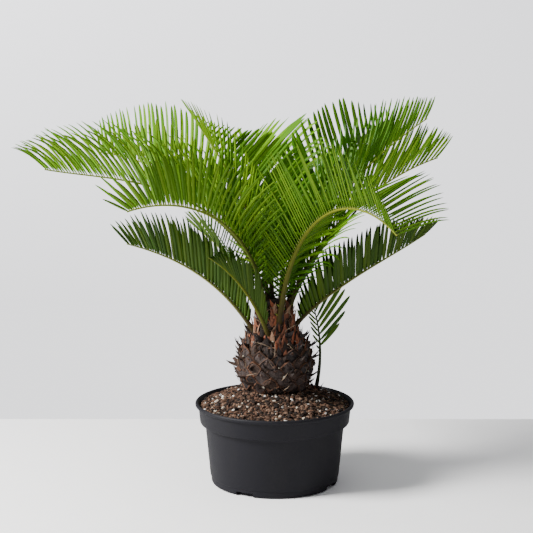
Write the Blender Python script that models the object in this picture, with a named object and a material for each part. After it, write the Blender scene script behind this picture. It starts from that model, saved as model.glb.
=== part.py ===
"""A potted sago palm, in metres, +Z up, with its origin under the middle of the pot.

A round nursery pot holds a mound of potting mix. The caudex, the palm's short trunk, stands on
the mix with a flat foot. It is covered with old leaf bases, and its crown carries the fronds.
Each frond is a rib with two rows of blades set in a V, and a young offset grows beside the foot.
"""

import math
from dataclasses import dataclass

import bmesh
import bpy
from mathutils import Vector
from mathutils.bvhtree import BVHTree

# Clearance between pieces that rest on each other.
GAP = 0.0003

# Pot: outer radii and heights, from the underside to the lip.
POT_HEIGHT = 0.098
POT_BASE_RADIUS = 0.0765
POT_BASE_EDGE = 0.002
BODY_TOP_RADIUS = 0.0831
BODY_TOP_HEIGHT = 0.071
COLLAR_LOW_RADIUS = 0.0893
COLLAR_LOW_HEIGHT = 0.0742
COLLAR_TOP_RADIUS = 0.0912
LIP_RADIUS = 0.095
LIP_HEIGHT = 0.0045
LIP_INNER_RADIUS = 0.0918
WALL = 0.002
FLOOR = 0.0075
TURN_STEPS = 48

# Recesses in the foot of the pot, each with a drain hole.
RECESS_COUNT = 4
RECESS_AZIMUTH = 242
RECESS_WIDTH = 0.022
RECESS_HEIGHT = 0.0052
RECESS_INNER_RADIUS = 0.050
DRAIN_HOLE_RADIUS = 0.004
DRAIN_HOLE_PLACE = 0.064
DRAIN_HOLE_SIDES = 16

# Potting mix: level at the wall, and the flat top of the mound under the caudex.
MIX_EDGE_HEIGHT = 0.0932
MIX_TOP_HEIGHT = 0.1125
MIX_TOP_RADIUS = 0.052
MOUND_STEPS = 4

# Caudex: (height, radius) from its flat foot to the tip of the crown.
CAUDEX_FOOT = MIX_TOP_HEIGHT + GAP
CAUDEX_SIDE = (
    (CAUDEX_FOOT, 0.0355),
    (0.122, 0.0405),
    (0.132, 0.0440),
    (0.145, 0.0450),
    (0.160, 0.0420),
    (0.169, 0.0370),
    (0.1785, 0.0300),
    (0.194, 0.0235),
    (0.207, 0.0200),
    (0.220, 0.0120),
)
SCALE_COLUMNS = 13
SCALE_ROWS = 17
RAISED_ROWS = 9
SCALE_RIM = 0.0022
SCALE_RAISE = 0.0030
SCALE_TIP_OUT = 0.0025
SCALE_TIP_UP = 0.0010
CROWN_CLEARANCE = 2 * GAP

# Ribs: half width and half depth at the foot, and what is left of them at the tip.
RIB_HALF_WIDTH = 0.0032
RIB_HALF_DEPTH = 0.0028
RIB_TIP_HALF = 0.0008
RIB_TAPER = 1.6
RIB_STEPS = 48
SEAT_SHARE = 0.85
SWAY_POWER = 1.5
UPTURN_POWER = 4

# Leaflets.
SHORTEST_SHARE = 0.25
FULL_LENGTH_PLACE = 0.32
FILL_POWER = 0.9
TAPER_PLACE = 0.6
TAPER_LOSS = 0.6
TAPER_POWER = 1.5
BLADE_WIDTH = 0.0075
BLADE_SHARE_OF_PITCH = 0.62
BLADE_THICKNESS_SHARE = 0.011
BLADE_LEAST_THICKNESS = 0.0008
BLADE_MIDDLE = 0.5
BLADE_SAG = 0.3
CLEAR_OF_OTHERS = 0.0005
CLEAR_OF_RIB = 0.30
SHORTENED = (1.0, 0.8, 0.6, 0.42)


@dataclass(frozen=True)
class Stance:
    """How a frond's leaflets stand, with angles in degrees.

    The sweep is the angle between a leaflet and the rib in front of it. It falls by loss along the
    rib, and near the tip by tip_loss, the later the higher tip_power is. Curl bends each leaflet on.
    """

    sweep: float = 78
    loss: float = 18
    tip_loss: float = 32
    tip_power: float = 4
    curl: float = 0.32

    def sweep_at(self, share):
        """The sweep in radians at a share of the leafy stretch."""
        return math.radians(self.sweep - self.loss * share - self.tip_loss * share ** self.tip_power)


LOW_STANCE = Stance(82, 6, 24, 7, 0.10)
BACK_LEFT_STANCE = Stance(86, 0, 36, 6, 0.12)
BACK_RIGHT_STANCE = Stance(76, 6, 34, 4, 0.10)
FRONT_LEFT_STANCE = Stance(84, 2, 30, 10, 0.08)
FRONT_RIGHT_STANCE = Stance(84, -8, 20, 12, 0.06)


@dataclass(frozen=True)
class Frond:
    """One frond. Angles are in degrees, with azimuth 0 towards +X and 90 towards +Y.

    The rib leaves its seat on the caudex at the angle rise above level and ends at the angle
    fall. A bend under 1 turns it early, one over 1 late, and sway turns its azimuth on the way.
    Upturn raises the slope again near the tip.
    The left row, seen from the foot, is turned out of the V by left_lift, by the tip by left_tip_lift.
    """

    name: str
    azimuth: float
    seat_azimuth: float
    seat_height: float
    rise: float
    fall: float
    bend: float
    length: float
    leaflet: float
    sway: float = 0
    roll: float = 0
    vee: float = 55
    bare: float = 0.16
    pairs: int = 16
    far_row: float = 1.0
    seat_radius: float = 0.0
    girth: float = 1.0
    upturn: float = 0.0
    left_lift: float = 0.0
    left_tip_lift: float = 0.0
    stance: Stance = Stance()


FRONDS = (
    Frond(
        "frond_left_low", 190, 190, 0.182, 58, 7, 1.14, 0.191, 0.072, sway=3, bare=0.07, pairs=14,
        upturn=9, stance=LOW_STANCE,
    ),
    Frond(
        "frond_right_low", 4, 4, 0.187, 53, 21, 0.52, 0.194, 0.066, sway=11, bare=0.07, pairs=14,
        upturn=11, stance=LOW_STANCE,
    ),
    Frond("frond_front_left_low", 225, 255, 0.180, 64, 29, 1.1, 0.145, 0.062, bare=0.1, pairs=11),
    Frond("frond_back_right_low", 60, 62, 0.187, 54, 15, 0.8, 0.190, 0.062, pairs=13),
    Frond("frond_back_left_low", 122, 118, 0.185, 52, 12, 0.9, 0.190, 0.062, pairs=13),
    Frond(
        "frond_front_left", 216, 232, 0.197, 88, -26, 1.18, 0.262, 0.100, sway=-12,
        upturn=10, left_lift=-18, stance=FRONT_LEFT_STANCE,
    ),
    Frond(
        "frond_front_right", 300, 284, 0.194, 78, -35, 1.3, 0.310, 0.100, sway=5, pairs=18,
        left_lift=-62, left_tip_lift=-12, stance=FRONT_RIGHT_STANCE,
    ),
    Frond("frond_left", 174, 188, 0.202, 100, -28, 0.75, 0.342, 0.082, sway=18, pairs=19, upturn=40),
    Frond("frond_right", 12, 350, 0.203, 85, 22, 0.61, 0.269, 0.088, upturn=-5),
    Frond(
        "frond_back_left", 149, 162, 0.206, 98, -1, 0.62, 0.316, 0.096, sway=7, pairs=17,
        upturn=7, stance=BACK_LEFT_STANCE,
    ),
    Frond("frond_left_upright", 162, 136, 0.217, 86, 40, 1.08, 0.235, 0.086, sway=-2, upturn=14),
    Frond("frond_back", 104, 104, 0.213, 88, 13, 0.9, 0.240, 0.096, roll=14),
    Frond("frond_back_centre", 75, 72, 0.199, 84, -10, 0.9, 0.240, 0.085, pairs=15),
    Frond(
        "frond_back_right", 40, 52, 0.212, 91, 18, 0.65, 0.280, 0.100, stance=BACK_RIGHT_STANCE,
    ),
    Frond("frond_right_upright", 16, 20, 0.208, 86, 31, 0.6, 0.292, 0.084, pairs=17),
    Frond(
        "offset_frond", 10, 16, 0.110, 76, 108, 1.0, 0.104, 0.045, roll=-80, vee=15, bare=0.46,
        pairs=7, far_row=0.5, seat_radius=0.0505, girth=0.55,
    ),
)


def clear_scene():
    """Remove every object of the scene that is open."""
    for obj in list(bpy.data.objects):
        bpy.data.objects.remove(obj, do_unlink=True)


def make_material(name, colour, roughness):
    """A plain Principled material."""
    material = bpy.data.materials.new(name)
    material.use_nodes = True
    shader = material.node_tree.nodes["Principled BSDF"]
    shader.inputs["Base Color"].default_value = (*colour, 1)
    shader.inputs["Roughness"].default_value = roughness
    shader.inputs["Metallic"].default_value = 0
    material.diffuse_color = (*colour, 1)
    return material


def make_object(name, bm, material, smooth_angle=None):
    """Turn a bmesh into an object of the scene."""
    mesh = bpy.data.meshes.new(name)
    bm.to_mesh(mesh)
    bm.free()
    if smooth_angle is not None:
        mesh.shade_smooth()
        mesh.set_sharp_from_angle(angle=math.radians(smooth_angle))
    if material is not None:
        mesh.materials.append(material)
    obj = bpy.data.objects.new(name, mesh)
    bpy.context.scene.collection.objects.link(obj)
    return obj


def spin_profile(profile, steps=TURN_STEPS):
    """A closed turned body from a profile of (radius, height) that starts and ends on the axis."""
    bm = bmesh.new()
    verts = [bm.verts.new((radius, 0, height)) for radius, height in profile]
    edges = [bm.edges.new(pair) for pair in zip(verts, verts[1:])]
    bmesh.ops.spin(
        bm, geom=verts + edges, cent=(0, 0, 0), axis=(0, 0, 1), angle=math.tau, steps=steps, use_merge=True
    )
    bmesh.ops.remove_doubles(bm, verts=bm.verts, dist=1e-6)
    bmesh.ops.recalc_face_normals(bm, faces=bm.faces)
    return bm


def between(table, height):
    """The radius at a height, from a table of (height, radius)."""
    for (low, low_radius), (high, high_radius) in zip(table, table[1:]):
        if height <= high:
            share = max(0, (height - low) / (high - low))
            return low_radius + (high_radius - low_radius) * share
    return table[-1][1]


def pot_inner_radius(height):
    """Inner radius of the pot's wall."""
    return between(
        (
            (FLOOR, POT_BASE_RADIUS - WALL),
            (BODY_TOP_HEIGHT + WALL, BODY_TOP_RADIUS - WALL),
            (COLLAR_LOW_HEIGHT + WALL, COLLAR_LOW_RADIUS - WALL),
            (POT_HEIGHT - LIP_HEIGHT, COLLAR_TOP_RADIUS - WALL),
        ),
        height,
    )


def drain_cutter():
    """Blocks for the foot's recesses and pins for its drain holes, in two objects."""
    blocks = bmesh.new()
    pins = bmesh.new()
    length = POT_BASE_RADIUS + 2 * WALL - RECESS_INNER_RADIUS
    middle = RECESS_INNER_RADIUS + length / 2
    for index in range(RECESS_COUNT):
        azimuth = math.radians(RECESS_AZIMUTH + index * 360 / RECESS_COUNT)
        outwards = Vector((math.cos(azimuth), math.sin(azimuth), 0))
        block = bmesh.ops.create_cube(blocks, size=1)["verts"]
        bmesh.ops.scale(blocks, vec=(length, RECESS_WIDTH, 2 * RECESS_HEIGHT), verts=block)
        turn = outwards.to_track_quat("X", "Z").to_matrix()
        bmesh.ops.rotate(blocks, cent=(0, 0, 0), matrix=turn, verts=block)
        bmesh.ops.translate(blocks, vec=outwards * middle, verts=block)
        pin = bmesh.ops.create_cone(
            pins, cap_ends=True, segments=DRAIN_HOLE_SIDES, radius1=DRAIN_HOLE_RADIUS,
            radius2=DRAIN_HOLE_RADIUS, depth=4 * FLOOR,
        )["verts"]
        bmesh.ops.translate(pins, vec=outwards * DRAIN_HOLE_PLACE, verts=pin)
    return [make_cutter("recess_cutter", blocks), make_cutter("drain_hole_cutter", pins)]


def make_cutter(name, bm):
    """An object that only cuts others."""
    cutter = make_object(name, bm, None)
    cutter.hide_render = True
    cutter.display_type = "WIRE"
    return cutter


def cut(obj, cutter):
    """Take the cutter's volume out of the object."""
    modifier = obj.modifiers.new(f"cut by {cutter.name}", "BOOLEAN")
    modifier.operation = "DIFFERENCE"
    modifier.solver = "EXACT"
    modifier.object = cutter


def build_pot():
    """The turned pot with its collar and lip, recesses in its foot and drain holes."""
    outside = [
        (0, 0),
        (POT_BASE_RADIUS - POT_BASE_EDGE, 0),
        (POT_BASE_RADIUS, POT_BASE_EDGE),
        (BODY_TOP_RADIUS, BODY_TOP_HEIGHT),
        (COLLAR_LOW_RADIUS, COLLAR_LOW_HEIGHT),
        (COLLAR_TOP_RADIUS, POT_HEIGHT - LIP_HEIGHT),
        (LIP_RADIUS, POT_HEIGHT - LIP_HEIGHT),
        (LIP_RADIUS, POT_HEIGHT),
        (LIP_INNER_RADIUS, POT_HEIGHT),
    ]
    heights = (POT_HEIGHT - LIP_HEIGHT, COLLAR_LOW_HEIGHT + WALL, BODY_TOP_HEIGHT + WALL, FLOOR)
    inside = [(pot_inner_radius(height), height) for height in heights]
    bm = spin_profile(outside + inside + [(0, FLOOR)])
    pot = make_object("pot", bm, make_material("pot plastic", (0.022, 0.023, 0.025), 0.45), 30)
    for cutter in drain_cutter():
        cut(pot, cutter)
    return pot


def build_mix():
    """Potting mix that fills the pot and rises in a mound to a flat top under the caudex."""
    heights = (FLOOR, BODY_TOP_HEIGHT + WALL, COLLAR_LOW_HEIGHT + WALL)
    side = [(pot_inner_radius(height) - GAP, height + GAP) for height in heights]
    edge = pot_inner_radius(MIX_EDGE_HEIGHT) - GAP
    mound = []
    for step in range(MOUND_STEPS + 1):
        share = step / MOUND_STEPS
        radius = edge + (MIX_TOP_RADIUS - edge) * share
        swell = share * share * (3 - 2 * share)
        mound.append((radius, MIX_EDGE_HEIGHT + (MIX_TOP_HEIGHT - MIX_EDGE_HEIGHT) * swell))
    profile = [(0, FLOOR + GAP)] + side + mound + [(0, MIX_TOP_HEIGHT)]
    bm = spin_profile(profile)
    return make_object("potting_mix", bm, make_material("potting mix", (0.09, 0.05, 0.032), 0.95), 40)


def caudex_radius(height):
    """Radius of the caudex under its leaf bases."""
    return between(CAUDEX_SIDE, height)


def build_caudex():
    """The swollen trunk: a lattice of diamond leaf bases, raised on the bulb and plain on the crown."""
    bm = bmesh.new()
    foot = CAUDEX_SIDE[0][0]
    pitch = (CAUDEX_SIDE[-1][0] - foot) / (SCALE_ROWS - 1)
    rings = []
    for row in range(SCALE_ROWS):
        height = foot + row * pitch
        radius = caudex_radius(height)
        ring = []
        for column in range(SCALE_COLUMNS):
            azimuth = math.tau * (column + 0.5 * (row % 2)) / SCALE_COLUMNS
            ring.append(bm.verts.new((radius * math.cos(azimuth), radius * math.sin(azimuth), height)))
        rings.append(ring)
    raised = []
    for row in range(SCALE_ROWS - 1):
        for column in range(SCALE_COLUMNS):
            # The lattice points of the next row stand half a column further round on even rows.
            shift = row % 2
            left = rings[row][column]
            right = rings[row][(column + 1) % SCALE_COLUMNS]
            top = rings[row + 1][(column + shift) % SCALE_COLUMNS]
            if row == 0:
                bm.faces.new((left, right, top))
            if row == SCALE_ROWS - 2:
                upper_left = rings[row + 1][(column + shift - 1) % SCALE_COLUMNS]
                bm.faces.new((left, top, upper_left))
            if row > 0:
                bottom = rings[row - 1][(column + shift) % SCALE_COLUMNS]
                face = bm.faces.new((bottom, right, top, left))
                if row <= RAISED_ROWS:
                    raised.append(face)
    bm.faces.new(reversed(rings[0]))
    bm.faces.new(rings[-1])
    bmesh.ops.recalc_face_normals(bm, faces=bm.faces)
    bmesh.ops.inset_individual(bm, faces=raised, thickness=SCALE_RIM, depth=SCALE_RAISE)
    for face in raised:
        tip = max(face.verts, key=lambda vert: vert.co.z)
        outwards = Vector((tip.co.x, tip.co.y, 0)).normalized()
        tip.co += outwards * SCALE_TIP_OUT + Vector((0, 0, SCALE_TIP_UP))
    return make_object("caudex", bm, make_material("leaf bases", (0.085, 0.05, 0.036), 0.9))


def seat_cutter():
    """The caudex and the top of the mix, a little larger, to cut the feet of the fronds to their seats."""
    side = [(caudex_radius(height) + CROWN_CLEARANCE, height) for height, _ in CAUDEX_SIDE]
    side[0] = (side[1][0], CAUDEX_FOOT)
    tip_height = CAUDEX_SIDE[-1][0] + CROWN_CLEARANCE
    slab = [(0, FLOOR), (MIX_TOP_RADIUS + RIB_HALF_WIDTH, FLOOR), (MIX_TOP_RADIUS + RIB_HALF_WIDTH, CAUDEX_FOOT)]
    profile = slab + side[:-1] + [(side[-1][0], tip_height), (0, tip_height)]
    return make_cutter("seat_cutter", spin_profile(profile, 4 * SCALE_COLUMNS))


def rib_frames(frond):
    """Points along the rib, each with its forward, upward and sideways directions."""
    seat = math.radians(frond.seat_azimuth)
    radius = frond.seat_radius or SEAT_SHARE * caudex_radius(frond.seat_height)
    point = Vector((radius * math.cos(seat), radius * math.sin(seat), frond.seat_height))
    step = frond.length / RIB_STEPS
    frames = []
    for index in range(RIB_STEPS + 1):
        share = index / RIB_STEPS
        slope = frond.rise + (frond.fall - frond.rise) * share ** frond.bend
        slope = math.radians(slope + frond.upturn * share ** UPTURN_POWER)
        azimuth = math.radians(frond.azimuth + frond.sway * share ** SWAY_POWER)
        roll = math.radians(frond.roll * min(1, 2 * share))
        forward = Vector(
            (math.cos(slope) * math.cos(azimuth), math.cos(slope) * math.sin(azimuth), math.sin(slope))
        )
        level = Vector((-math.sin(azimuth), math.cos(azimuth), 0))
        upward = forward.cross(level)
        side = level * math.cos(roll) + upward * math.sin(roll)
        frames.append((point.copy(), forward, forward.cross(side), side))
        point += forward * step
    return frames


def frame_at(frames, share):
    """The rib's frame at a share of its length."""
    place = min(max(share, 0), 1) * RIB_STEPS
    index = min(int(place), RIB_STEPS - 1)
    part = place - index
    return tuple(a.lerp(b, part) for a, b in zip(frames[index], frames[index + 1]))


def rib_half(share, foot_size):
    """Half width or half depth of the rib at a share of its length."""
    return RIB_TIP_HALF + (foot_size - RIB_TIP_HALF) * (1 - share) ** RIB_TAPER


def leaflet_length(frond, share):
    """Length of the leaflets at a share of the leafy stretch: short at both ends."""
    filled = math.sin(min(1, share / FULL_LENGTH_PLACE) * math.pi / 2) ** FILL_POWER
    grown = SHORTEST_SHARE + (1 - SHORTEST_SHARE) * filled
    tapered = 1 - TAPER_LOSS * max(0, (share - TAPER_PLACE) / (1 - TAPER_PLACE)) ** TAPER_POWER
    return frond.leaflet * grown * tapered


def row_vee(frond, share, side_sign):
    """Angle in radians of a row above the plane of the rib at a share of the leafy stretch."""
    lift = frond.left_lift + (frond.left_tip_lift - frond.left_lift) * share if side_sign > 0 else 0
    return math.radians(frond.vee + lift)


class Blade:
    """One leaflet's rings of corners, from its root on the rib to its tip."""

    def __init__(self, frond, frames, share, side_sign, scale):
        self.share = frond.bare + (1 - frond.bare) * share
        root, forward, upward, side = frame_at(frames, self.share)
        self.forward, self.upward, self.side_sign = forward, upward, side_sign
        self.curl = frond.stance.curl
        sweep = frond.stance.sweep_at(share)
        vee = row_vee(frond, share, side_sign)
        spread = side * (side_sign * math.cos(vee)) + upward * math.sin(vee)
        heading = forward * math.cos(sweep) + spread * math.sin(sweep)
        row = 1.0 if side_sign > 0 else frond.far_row
        length = leaflet_length(frond, share) * scale * row
        pitch = frond.length * (1 - frond.bare) / frond.pairs
        self.half_width = min(BLADE_WIDTH, BLADE_SHARE_OF_PITCH * pitch * math.sin(sweep)) / 2
        self.half_thickness = max(BLADE_THICKNESS_SHARE * length, BLADE_LEAST_THICKNESS) / 2
        self.root = root
        self.root_depth = max(rib_half(self.share, RIB_HALF_DEPTH) * frond.girth, self.half_thickness)
        first = self.curled(heading, 0.5 * BLADE_MIDDLE)
        second = self.curled(heading, 0.5 * (1 + BLADE_MIDDLE))
        self.middle = root + first * (length * BLADE_MIDDLE)
        self.tip = self.middle + second * (length * (1 - BLADE_MIDDLE))
        self.across = (forward - first * forward.dot(first)).normalized()
        self.through = self.across.cross(first).normalized()
        if self.through.dot(upward) < 0:
            self.through.negate()

    def curled(self, heading, share):
        """The heading part of the way along the blade, which curls forward and sags."""
        curl = self.curl * share
        return (heading + self.forward * curl - Vector((0, 0, BLADE_SAG * curl))).normalized()

    def ring(self, centre, extra):
        """Four corners of the blade round a point of its middle line, made thicker by extra."""
        across = self.across * (self.half_width + CLEAR_OF_OTHERS)
        through = self.through * (self.half_thickness + extra)
        return [centre - across - through, centre + across - through, centre + across + through,
                centre - across + through]

    def space(self, start_share):
        """A search tree of the room that the blade takes from a share of its length on."""
        part = start_share / BLADE_MIDDLE
        start = self.root.lerp(self.middle, part)
        corners = self.ring(start, CLEAR_OF_OTHERS + (self.root_depth - self.half_thickness) * (1 - part))
        corners += self.ring(self.middle, CLEAR_OF_OTHERS)
        corners.append(self.tip + (self.tip - self.middle).normalized() * CLEAR_OF_OTHERS)
        faces = [(0, 3, 2, 1)]
        for corner in range(4):
            following = (corner + 1) % 4
            faces.append((corner, following, following + 4, corner + 4))
            faces.append((corner + 4, following + 4, 8))
        return BVHTree.FromPolygons(corners, faces)


def rib_ring(frames, frond, share):
    """Four corners of the rib's section at a share of its length."""
    point, _, upward, side = frame_at(frames, share)
    across = side * (rib_half(share, RIB_HALF_WIDTH) * frond.girth)
    through = upward * (rib_half(share, RIB_HALF_DEPTH) * frond.girth)
    return [point - across - through, point + across - through, point + across + through,
            point - across + through]


def rib_stations(frond):
    """Shares of the rib's length where its section is drawn: both edges of every leaflet's root."""
    pitch = (1 - frond.bare) / frond.pairs
    stations = [0.0, 0.5 * frond.bare]
    for index in range(frond.pairs):
        share = (index + 0.5) / frond.pairs
        place = frond.bare + (1 - frond.bare) * share
        sweep = frond.stance.sweep_at(share)
        half = min(BLADE_WIDTH / frond.length, BLADE_SHARE_OF_PITCH * pitch * math.sin(sweep)) / 2
        stations += [place - half, place + half]
    return stations + [1.0]


def rib_mesh(frond, frames):
    """The rib as a closed four-sided tube, with its side faces listed by row and leaflet."""
    bm = bmesh.new()
    rings = []
    for share in rib_stations(frond):
        rings.append([bm.verts.new(corner) for corner in rib_ring(frames, frond, share)])
    sides = {}
    for station, (low, high) in enumerate(zip(rings, rings[1:])):
        for corner in range(4):
            following = (corner + 1) % 4
            face = bm.faces.new((low[corner], low[following], high[following], high[corner]))
            leaflet = (station - 2) // 2
            if station >= 2 and station % 2 == 0 and corner in (1, 3) and leaflet < frond.pairs:
                sides[1 if corner == 1 else -1, leaflet] = face
    bm.faces.new(reversed(rings[0]))
    bm.faces.new(rings[-1])
    bmesh.ops.recalc_face_normals(bm, faces=bm.faces)
    return bm, sides


def search_tree(obj):
    """A search tree of an object's faces."""
    bm = bmesh.new()
    bm.from_mesh(obj.data)
    tree = BVHTree.FromBMesh(bm)
    bm.free()
    return tree


def choose_blades(frond, frames, own_rib, others):
    """The leaflets that clear everything already there, shortened where that helps, or left out."""
    chosen = {}
    own = [own_rib]
    rooms = []
    for index in range(frond.pairs):
        share = (index + 0.5) / frond.pairs
        for side_sign in (1, -1):
            for scale in SHORTENED:
                blade = Blade(frond, frames, share, side_sign, scale)
                outer, whole = blade.space(CLEAR_OF_RIB), blade.space(0)
                if any(outer.overlap(tree) for tree in own) or any(whole.overlap(tree) for tree in others):
                    continue
                chosen[side_sign, index] = blade
                own.append(outer)
                rooms.append(whole)
                break
    others += rooms
    return chosen


def grow_blade(bm, face, blade):
    """Pull a side face of the rib out into a pointed blade."""
    centre = face.calc_center_median()
    corners = {}
    for vert in face.verts:
        offset = vert.co - centre
        corners[offset.dot(blade.forward) > 0, offset.dot(blade.upward) > 0] = vert.co.copy()
    grown = bmesh.ops.extrude_discrete_faces(bm, faces=[face])["faces"][0]
    for vert in grown.verts:
        offset = vert.co - centre
        across = blade.half_width if offset.dot(blade.forward) > 0 else -blade.half_width
        through = blade.half_thickness if offset.dot(blade.upward) > 0 else -blade.half_thickness
        vert.co = blade.middle + blade.across * across + blade.through * through
    point = bmesh.ops.extrude_discrete_faces(bm, faces=[grown])["faces"][0]
    bmesh.ops.pointmerge(bm, verts=point.verts[:], merge_co=blade.tip)


def build_fronds(caudex):
    """All fronds: first every rib, then the leaflets that find room, frond by frond."""
    young = make_material("young frond", (0.16, 0.30, 0.035), 0.45)
    old = make_material("old frond", (0.04, 0.11, 0.025), 0.5)
    cutter = seat_cutter()
    ribs = []
    for frond in FRONDS:
        frames = rib_frames(frond)
        bm, sides = rib_mesh(frond, frames)
        ribs.append((frond, frames, bm, sides, BVHTree.FromBMesh(bm)))
    rooms = [search_tree(caudex)]
    for frond, frames, bm, sides, own_rib in ribs:
        other_ribs = [tree for *_, tree in ribs if tree is not own_rib]
        others = rooms + other_ribs
        for place, blade in choose_blades(frond, frames, own_rib, others).items():
            grow_blade(bm, sides[place], blade)
        rooms = [tree for tree in others if tree not in other_ribs]
        bmesh.ops.recalc_face_normals(bm, faces=bm.faces)
        material = old if frond.name.endswith("_low") else young
        cut(make_object(frond.name, bm, material), cutter)


def main():
    """Build the whole plant."""
    clear_scene()
    build_pot()
    build_mix()
    build_fronds(build_caudex())


if __name__ == "__main__":
    main()
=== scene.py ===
"""A potted sago palm: the looks of the plant and its nursery pot, in metres, +Z up.

Each sub-assembly is a class with its sizes as fields, and each finish is a frozen dataclass that
builds its own material. The fronds grow by the rule of the solid model, carried to finer leaflets.
"""

import logging
import math
import random
from dataclasses import dataclass, field
from enum import Enum
from functools import cache
from typing import Callable, Iterable, Optional, Sequence

import bmesh
import bpy
from mathutils import Matrix, Vector, noise

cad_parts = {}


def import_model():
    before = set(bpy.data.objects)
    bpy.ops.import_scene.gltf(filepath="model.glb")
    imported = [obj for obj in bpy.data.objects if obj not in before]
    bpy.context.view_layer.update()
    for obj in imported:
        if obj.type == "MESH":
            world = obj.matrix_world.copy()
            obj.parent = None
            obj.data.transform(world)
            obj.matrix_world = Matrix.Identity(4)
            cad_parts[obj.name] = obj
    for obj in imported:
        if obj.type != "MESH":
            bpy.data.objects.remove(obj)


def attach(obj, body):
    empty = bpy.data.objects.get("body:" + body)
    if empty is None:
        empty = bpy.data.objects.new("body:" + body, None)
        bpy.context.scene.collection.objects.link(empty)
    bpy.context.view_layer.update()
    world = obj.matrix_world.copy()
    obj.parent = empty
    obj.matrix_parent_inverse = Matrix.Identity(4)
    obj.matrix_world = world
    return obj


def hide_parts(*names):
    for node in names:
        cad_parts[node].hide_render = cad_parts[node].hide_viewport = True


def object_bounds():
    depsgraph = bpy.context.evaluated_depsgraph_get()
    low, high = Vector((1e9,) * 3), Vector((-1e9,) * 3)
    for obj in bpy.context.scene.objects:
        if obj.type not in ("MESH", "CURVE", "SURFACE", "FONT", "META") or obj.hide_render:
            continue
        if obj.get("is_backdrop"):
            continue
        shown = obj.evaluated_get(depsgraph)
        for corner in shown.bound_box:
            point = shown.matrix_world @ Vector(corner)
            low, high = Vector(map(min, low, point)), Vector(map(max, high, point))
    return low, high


log = logging.getLogger("sago_palm")

BODY = "root"
UP = Vector((0, 0, 1))

Colour = tuple[float, float, float]
Span = tuple[float, float]
Section = tuple[Vector, Vector, Vector]
Frame = tuple[Vector, Vector, Vector, Vector]
Socket = bpy.types.NodeSocket
BMesh = bmesh.types.BMesh


class Slot(Enum):
    """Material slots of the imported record."""

    POT = "pot_plastic"
    MIX = "potting_mix"
    BASES = "leaf_bases"
    YOUNG = "young_frond"
    OLD = "old_frond"


class Age(Enum):
    """How a frond's green has turned with its age, with painted light on lit fronds and painted shade on
    shaded ones.
    """

    BRIGHT = "bright"
    FRESH = "fresh"
    MID = "mid"
    DEEP = "deep"
    DARK = "dark"


class NodeBoard:
    """Places nodes in one node tree, in rows, and links them."""

    ROW = 12
    SPACING = (-200, -260)

    def __init__(self, tree: bpy.types.NodeTree) -> None:
        """Start on a tree."""
        self.tree = tree
        self.column = 0

    def add(self, kind: str, inputs: Optional[dict] = None, **values: object) -> bpy.types.Node:
        """Place a node.

        Args:
            kind: The node's type name.
            inputs: For an input's name or number its value, or a socket to link to it.
            **values: Attributes to set on it.

        Returns:
            The new node.
        """
        node = self.tree.nodes.new(kind)
        for name, value in values.items():
            setattr(node, name, value)
        self.column += 1
        row, column = divmod(self.column, self.ROW)
        node.location = (self.SPACING[0] * (self.ROW - column), self.SPACING[1] * row)
        self.feed(node, inputs or {})
        return node

    def feed(self, node: bpy.types.Node, inputs: dict) -> None:
        """Set or link inputs of a node.

        Args:
            node: The node.
            inputs: For an input's name or number its value, or a socket to link to it.
        """
        for key, value in inputs.items():
            if isinstance(value, Socket):
                self.tree.links.new(value, node.inputs[key])
            else:
                node.inputs[key].default_value = value

    def noise(self, vector: Socket, scale: Socket, detail: float, rough: float) -> Socket:
        """Place a noise texture."""
        given = {"Vector": vector, "Scale": scale, "Detail": detail, "Roughness": rough}
        return self.add("ShaderNodeTexNoise", given).outputs["Fac"]

    def ramp(
        self, value: Socket, low: object = 0.0, high: object = 1.0, start: float = 0.0, end: float = 1.0
    ) -> Socket:
        """Stretch a value from low..high to start..end."""
        given = {"Value": value, "From Min": low, "From Max": high, "To Min": start, "To Max": end}
        return self.add("ShaderNodeMapRange", given).outputs["Result"]

    def math(self, operation: str, first: object, second: object) -> Socket:
        """Calculate with two values."""
        return self.add("ShaderNodeMath", {0: first, 1: second}, operation=operation).outputs[0]

    def blend(self, share: object, low: Socket, high: Socket) -> Socket:
        """Mix two values."""
        given = {"Factor": share, 2: low, 3: high}
        return self.add("ShaderNodeMix", given, data_type="FLOAT").outputs[0]

    def mix(self, share: object, low: object, high: object, blend_type: str = "MIX") -> Socket:
        """Mix two colours.

        Args:
            share: Share of the second colour.
            low: Colour or socket at 0.
            high: Colour or socket at 1.
            blend_type: How the second lies over the first.

        Returns:
            The mixed colour.
        """
        low, high = ((*value, 1) if isinstance(value, tuple) else value for value in (low, high))
        given = {"Factor": share, 6: low, 7: high}
        return self.add("ShaderNodeMix", given, data_type="RGBA", blend_type=blend_type).outputs[2]


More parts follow.
